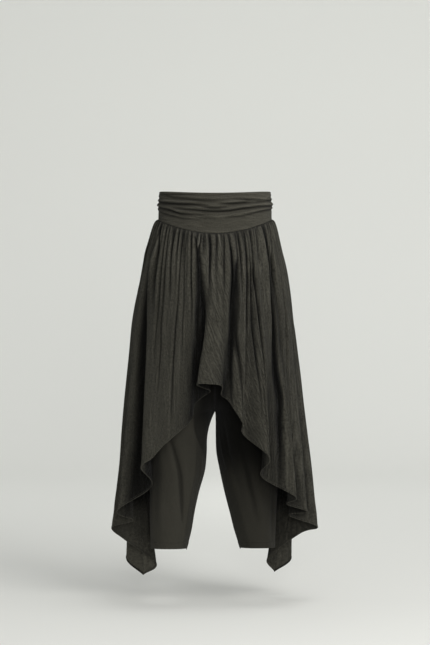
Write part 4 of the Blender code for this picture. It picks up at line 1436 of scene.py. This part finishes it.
trouserShade = {
    "left": 0.05,              # painted shade of each leg at its hem
    "right": 0.36,
    "grows": 0.5,              # both grow darker over these heights, as they go up,
    "growsOver": (-850.0, -560.0),
    "rightMore": 0.3,          # and the right one still more over these
    "rightOver": (-690.0, -590.0),
    "crotch": 0.95,            # darkest about the crotch,
    "crotchOver": (-560.0, -490.0),
    "crotchWide": (75.0, 25.0),    # within these distances from the middle line
    "free": 1.4,               # depth of a trough without shade
    "full": 5.0,               # and from there to full shade
    "troughMost": 0.5,
    "hemLine": 0.35,           # along the turned hem's upper edge,
    "hemLineUp": 0.6,          # this far above it
    "hemLineWide": 1.1,
    "facetEdge": (-1.5, 2.5),  # distances along the cloth over which a facet's edge is soft
    "facetFrom": (-0.3, 0.1),  # shares of its height over which it sets in
    "facetTo": (0.85, 1.1),    # and ends
}


def legDark(side, key, x, relief, along, z, hem):
    # Painted shade on each point, from 0 to 1: about the crotch, under the skirt, in the
    # troughs, along the turned hem's upper edge and on the facets
    own = trouserShade[side]
    deepest = softStep(*trouserShade["crotchOver"], z) * softStep(*trouserShade["crotchWide"], x)
    under = own + trouserShade["grows"] * softStep(*trouserShade["growsOver"], z) * (0.3 + own)
    if side == "right":
        under = under + trouserShade["rightMore"] * softStep(*trouserShade["rightOver"], z)
    trough = (-relief - trouserShade["free"]) / trouserShade["full"]
    trough = np.clip(trough, 0.0, trouserShade["troughMost"])
    above = z - hem - trousers["hemDeep"] - trouserShade["hemLineUp"]
    line = np.exp(-(above / trouserShade["hemLineWide"]) ** 2)
    trough = np.maximum(trough, trouserShade["hemLine"] * line)
    facet = 0.0 * z
    for shareTop, shareBottom, top, bottom, deep in legFacets.get(key, ()):
        t = (top - z) / (top - bottom)
        line = shareTop + (shareBottom - shareTop) * np.clip(t, 0.0, 1.0) ** 2
        beyond = softStep(*trouserShade["facetEdge"], along - line * along[:, -1:])
        run = softSpan(trouserShade["facetFrom"], trouserShade["facetTo"], t)
        facet = np.maximum(facet, deep * beyond * run)
    crotch = trouserShade["crotch"] * deepest
    return 1 - (1 - crotch) * (1 - under) * (1 - trough) * (1 - facet)


def makeTrouserPanel(name, node, side, isFront):
    # Rows follow the band's seam at the top and the hem at the bottom, and lie closer
    # together at the crotch. Columns run from the side seam to the inseam.
    key = side + ("Front" if isFront else "Back")
    share = np.linspace(0.0, 1.0, trousers["columns"])[None, :]
    seam = sewnHeight(90.0 * (1 - share))
    hem = legSections[side][-1][0]
    rows = np.linspace(0.0, 1.0, trousers["rows"])[:, None]
    firstShare = trousers["rowShares"][1]
    firstHeight = trousers["rowHeights"][1]
    level = np.interp(rows, trousers["rowShares"],
                      [*trousers["rowHeights"], hem + trousers["hemRows"], hem])
    z = np.where(rows < firstShare, seam + (firstHeight - seam) * rows / firstShare, level)
    points = legBase(side, share, z)
    across = (legBase(side, np.clip(share + 0.01, 0, 1), z)
              - legBase(side, np.clip(share - 0.01, 0, 1), z))
    outward = np.stack([-across[..., 1], across[..., 0], 0.0 * z], axis=-1)
    along = runAlong(points, axis=1)
    relief = legRelief(key, share, along, z, hem)
    points = points + unitVectors(outward) * relief[..., None]

    toInseam = 1 - share
    lower = trousers["inseamDrop"] * np.exp(-(toInseam / 0.05) ** 2)
    lift = trousers["hemLift"] * np.sin(np.pi * share) - lower
    points[..., 2] += lift * softStep(hem + trousers["hemBends"], hem, z)
    points[..., 0] = np.maximum(points[..., 0], 0.0)
    points[..., 1] = np.minimum(points[..., 1], 0.0)
    over = trousers["overlap"] * np.exp(-(toInseam / 0.02) ** 2)
    points[..., 0] -= over * softStep(*trousers["overlapFrom"], z)
    dark = legDark(side, key, np.abs(points[..., 0]), relief, along, z, hem)
    if side == "left":
        points[..., 0] *= -1
    if not isFront:
        points[..., 1] *= -1
    uv = np.stack([along * mm, z * mm], axis=-1)
    # painted highlight on the hem's lower edge
    pale = trousers["hemPale"] * softStep(hem + 3.0, hem, z)
    if (side == "right") == isFront:
        points, uv, pale, dark = (grid[:, ::-1] for grid in (points, uv, pale, dark))
    piece = clothSheet(name, points, uv, trouserCotton, trousers["thick"],
                       {"paintedHighlight": pale, "paintedShade": dark})
    placePiece(piece, "trouser_cloth", node)
    line = points[np.argmin(np.abs(points[:, 0, 2] - hem - trousers["hemDeep"]))]
    level = np.array([1.0, 1.0, 0.0])
    across = np.array([1.0, 0.0, 0.0])
    outside = unitVectors(line * level - line.mean(axis=0) * across)
    makeStitches(name + "Stitches", line + outside * trousers["stitchesOut"], outside,
                 "trouser_cloth")


for side in ("left", "right"):
    for isFront in (True, False):
        part = "Front" if isFront else "Back"
        node = "trouser_" + part.lower() + "_" + side
        name = "trouser" + part + side.capitalize() + "Cloth"
        makeTrouserPanel(name, node, side, isFront)
print("trousers made")


# Studio

studio = {
    "floor": -0.965,           # metres, as all sizes of the studio
    "wallAt": 5.4,
    "bend": 2.0,
    "halfWidth": 5.0,
    "nearEdge": -7.0,
    "height": 4.5,
    "paint": (0.73, 0.73, 0.700, 1.0),
    "glow": (0.200, 0.203, 0.194),    # the backdrop has a little light of its own
    "glowOver": (-0.8, 2.8),          # places from near to far over which it sets in
    "pool": 0.45,                     # it is strongest between and behind the legs
    "poolAt": (0.02, 2.3),
    "poolSize": (0.24, 1.1),
    "weaker": 0.08,                   # it weakens by this share up the wall,
    "weakerOver": (-0.2, 1.2),        # over these heights,
    "toRight": 0.07,                  # and grows by this with each metre to the right,
    "toRightWithin": 1.5,             # within this distance from the middle
    "air": (0.95, 0.97, 0.96, 1.0),   # light from all sides
    "airStrength": 0.42,
}


def makeStudio():
    # A floor that bends up into a wall: a straight run, a quarter circle and a straight run,
    # carried across the room
    bend = studio["bend"]
    turn = np.linspace(0.0, np.pi / 2, 24)
    flat = np.linspace(0.0, studio["wallAt"] - bend, 12)[:-1]
    y = np.concatenate([[studio["nearEdge"]], flat, studio["wallAt"] - bend + bend * np.sin(turn),
                        [studio["wallAt"]]])
    z = np.concatenate([[0.0], 0.0 * flat, bend - bend * np.cos(turn), [studio["height"]]])
    x = np.concatenate([[-studio["halfWidth"]], np.linspace(-1.6, 1.6, 41),
                        [studio["halfWidth"]]])
    grid = np.stack(np.broadcast_arrays(x[None, :], y[::-1][:, None],
                                        (z + studio["floor"])[::-1][:, None]), axis=-1)
    material = bpy.data.materials.new("studioPaint")
    material.use_nodes = True
    add, join, _ = nodeChain(material.node_tree)
    shader = material.node_tree.nodes["Principled BSDF"]
    setInputs(shader, {"Base Color": studio["paint"], "Roughness": 0.95,
                       "Specular IOR Level": 0.1, "Emission Strength": 1.0})
    glow = add("ShaderNodeVectorMath", operation="SCALE")
    join(studio["glow"], glow.inputs[0])
    join(add("ShaderNodeAttribute", attribute_name="glow").outputs["Fac"], glow.inputs["Scale"])
    join(glow.outputs[0], shader.inputs["Emission Color"])
    share = softStep(*studio["glowOver"], grid[..., 1])
    share = share * (1 - studio["weaker"] * softStep(*studio["weakerOver"], grid[..., 2]))
    within = studio["toRightWithin"]
    share = share * (1 + studio["toRight"] * np.clip(grid[..., 0], -within, within))
    away = (grid[..., :2] - studio["poolAt"]) / studio["poolSize"]
    share = share + studio["pool"] * np.exp(-(away ** 2).sum(axis=-1))
    room = meshPiece("studio", grid / mm, gridFaces(grid), grid[..., :2], material,
                     {"glow": share})


def makeLight(name, place, aim, size, power, colour):
    # A square lamp of soft light at a place, turned to face a point
    data = bpy.data.lights.new(name, "AREA")
    data.size = size
    data.energy = power
    data.color = colour
    lamp = bpy.data.objects.new(name, data)
    lamp.visible_camera = False
    lamp.location = place
    direction = np.array(aim) - np.array(place)
    flat = np.hypot(direction[0], direction[1])
    lamp.rotation_euler = (np.arctan2(flat, -direction[2]), 0.0,
                           np.arctan2(direction[1], direction[0]) - np.pi / 2)
    bpy.context.scene.collection.objects.link(lamp)


# Name, place, point that it faces, size, watts and colour
lights = (
    ("keyLight", (2.4, -2.9, 1.5), (0.0, 0.0, -0.4), 2.6, 115.0, (1.0, 0.995, 0.98)),
    ("fillLight", (0.3, -4.4, 0.3), (0.0, 0.0, -0.5), 1.2, 75.0, (1.0, 1.0, 0.99)),
    ("topLight", (0.35, -0.25, 1.9), (0.0, 0.05, -0.9), 0.9, 14.0, (1.0, 1.0, 1.0)),
)

picture = {
    "height": 645,                 # pixels of the photograph's frame
    "distance": 4.0,               # metres from the garment's middle
    "eyeHeight": -0.283,
    "metresPerPixel": 0.00245,     # at the garment's middle
}


def makeCamera():
    # Level, and straight in front of the garment's middle
    data = bpy.data.cameras.new("photoCamera")
    data.sensor_fit = "VERTICAL"
    data.sensor_height = 36.0
    focalPixels = picture["distance"] / picture["metresPerPixel"]
    data.lens = focalPixels / picture["height"] * data.sensor_height
    camera = bpy.data.objects.new("photoCamera", data)
    camera.location = (0.0, -picture["distance"], picture["eyeHeight"])
    camera.rotation_euler = (np.pi / 2, 0.0, 0.0)
    bpy.context.scene.collection.objects.link(camera)
    bpy.context.scene.camera = camera


makeStudio()
for values in lights:
    makeLight(*values)
world = bpy.data.worlds.new("studioAir")
world.use_nodes = True
setInputs(world.node_tree.nodes["Background"],
          {"Color": studio["air"], "Strength": studio["airStrength"]})
bpy.context.scene.world = world
bpy.context.scene.view_settings.view_transform = "Standard"
makeCamera()
print("studio made")
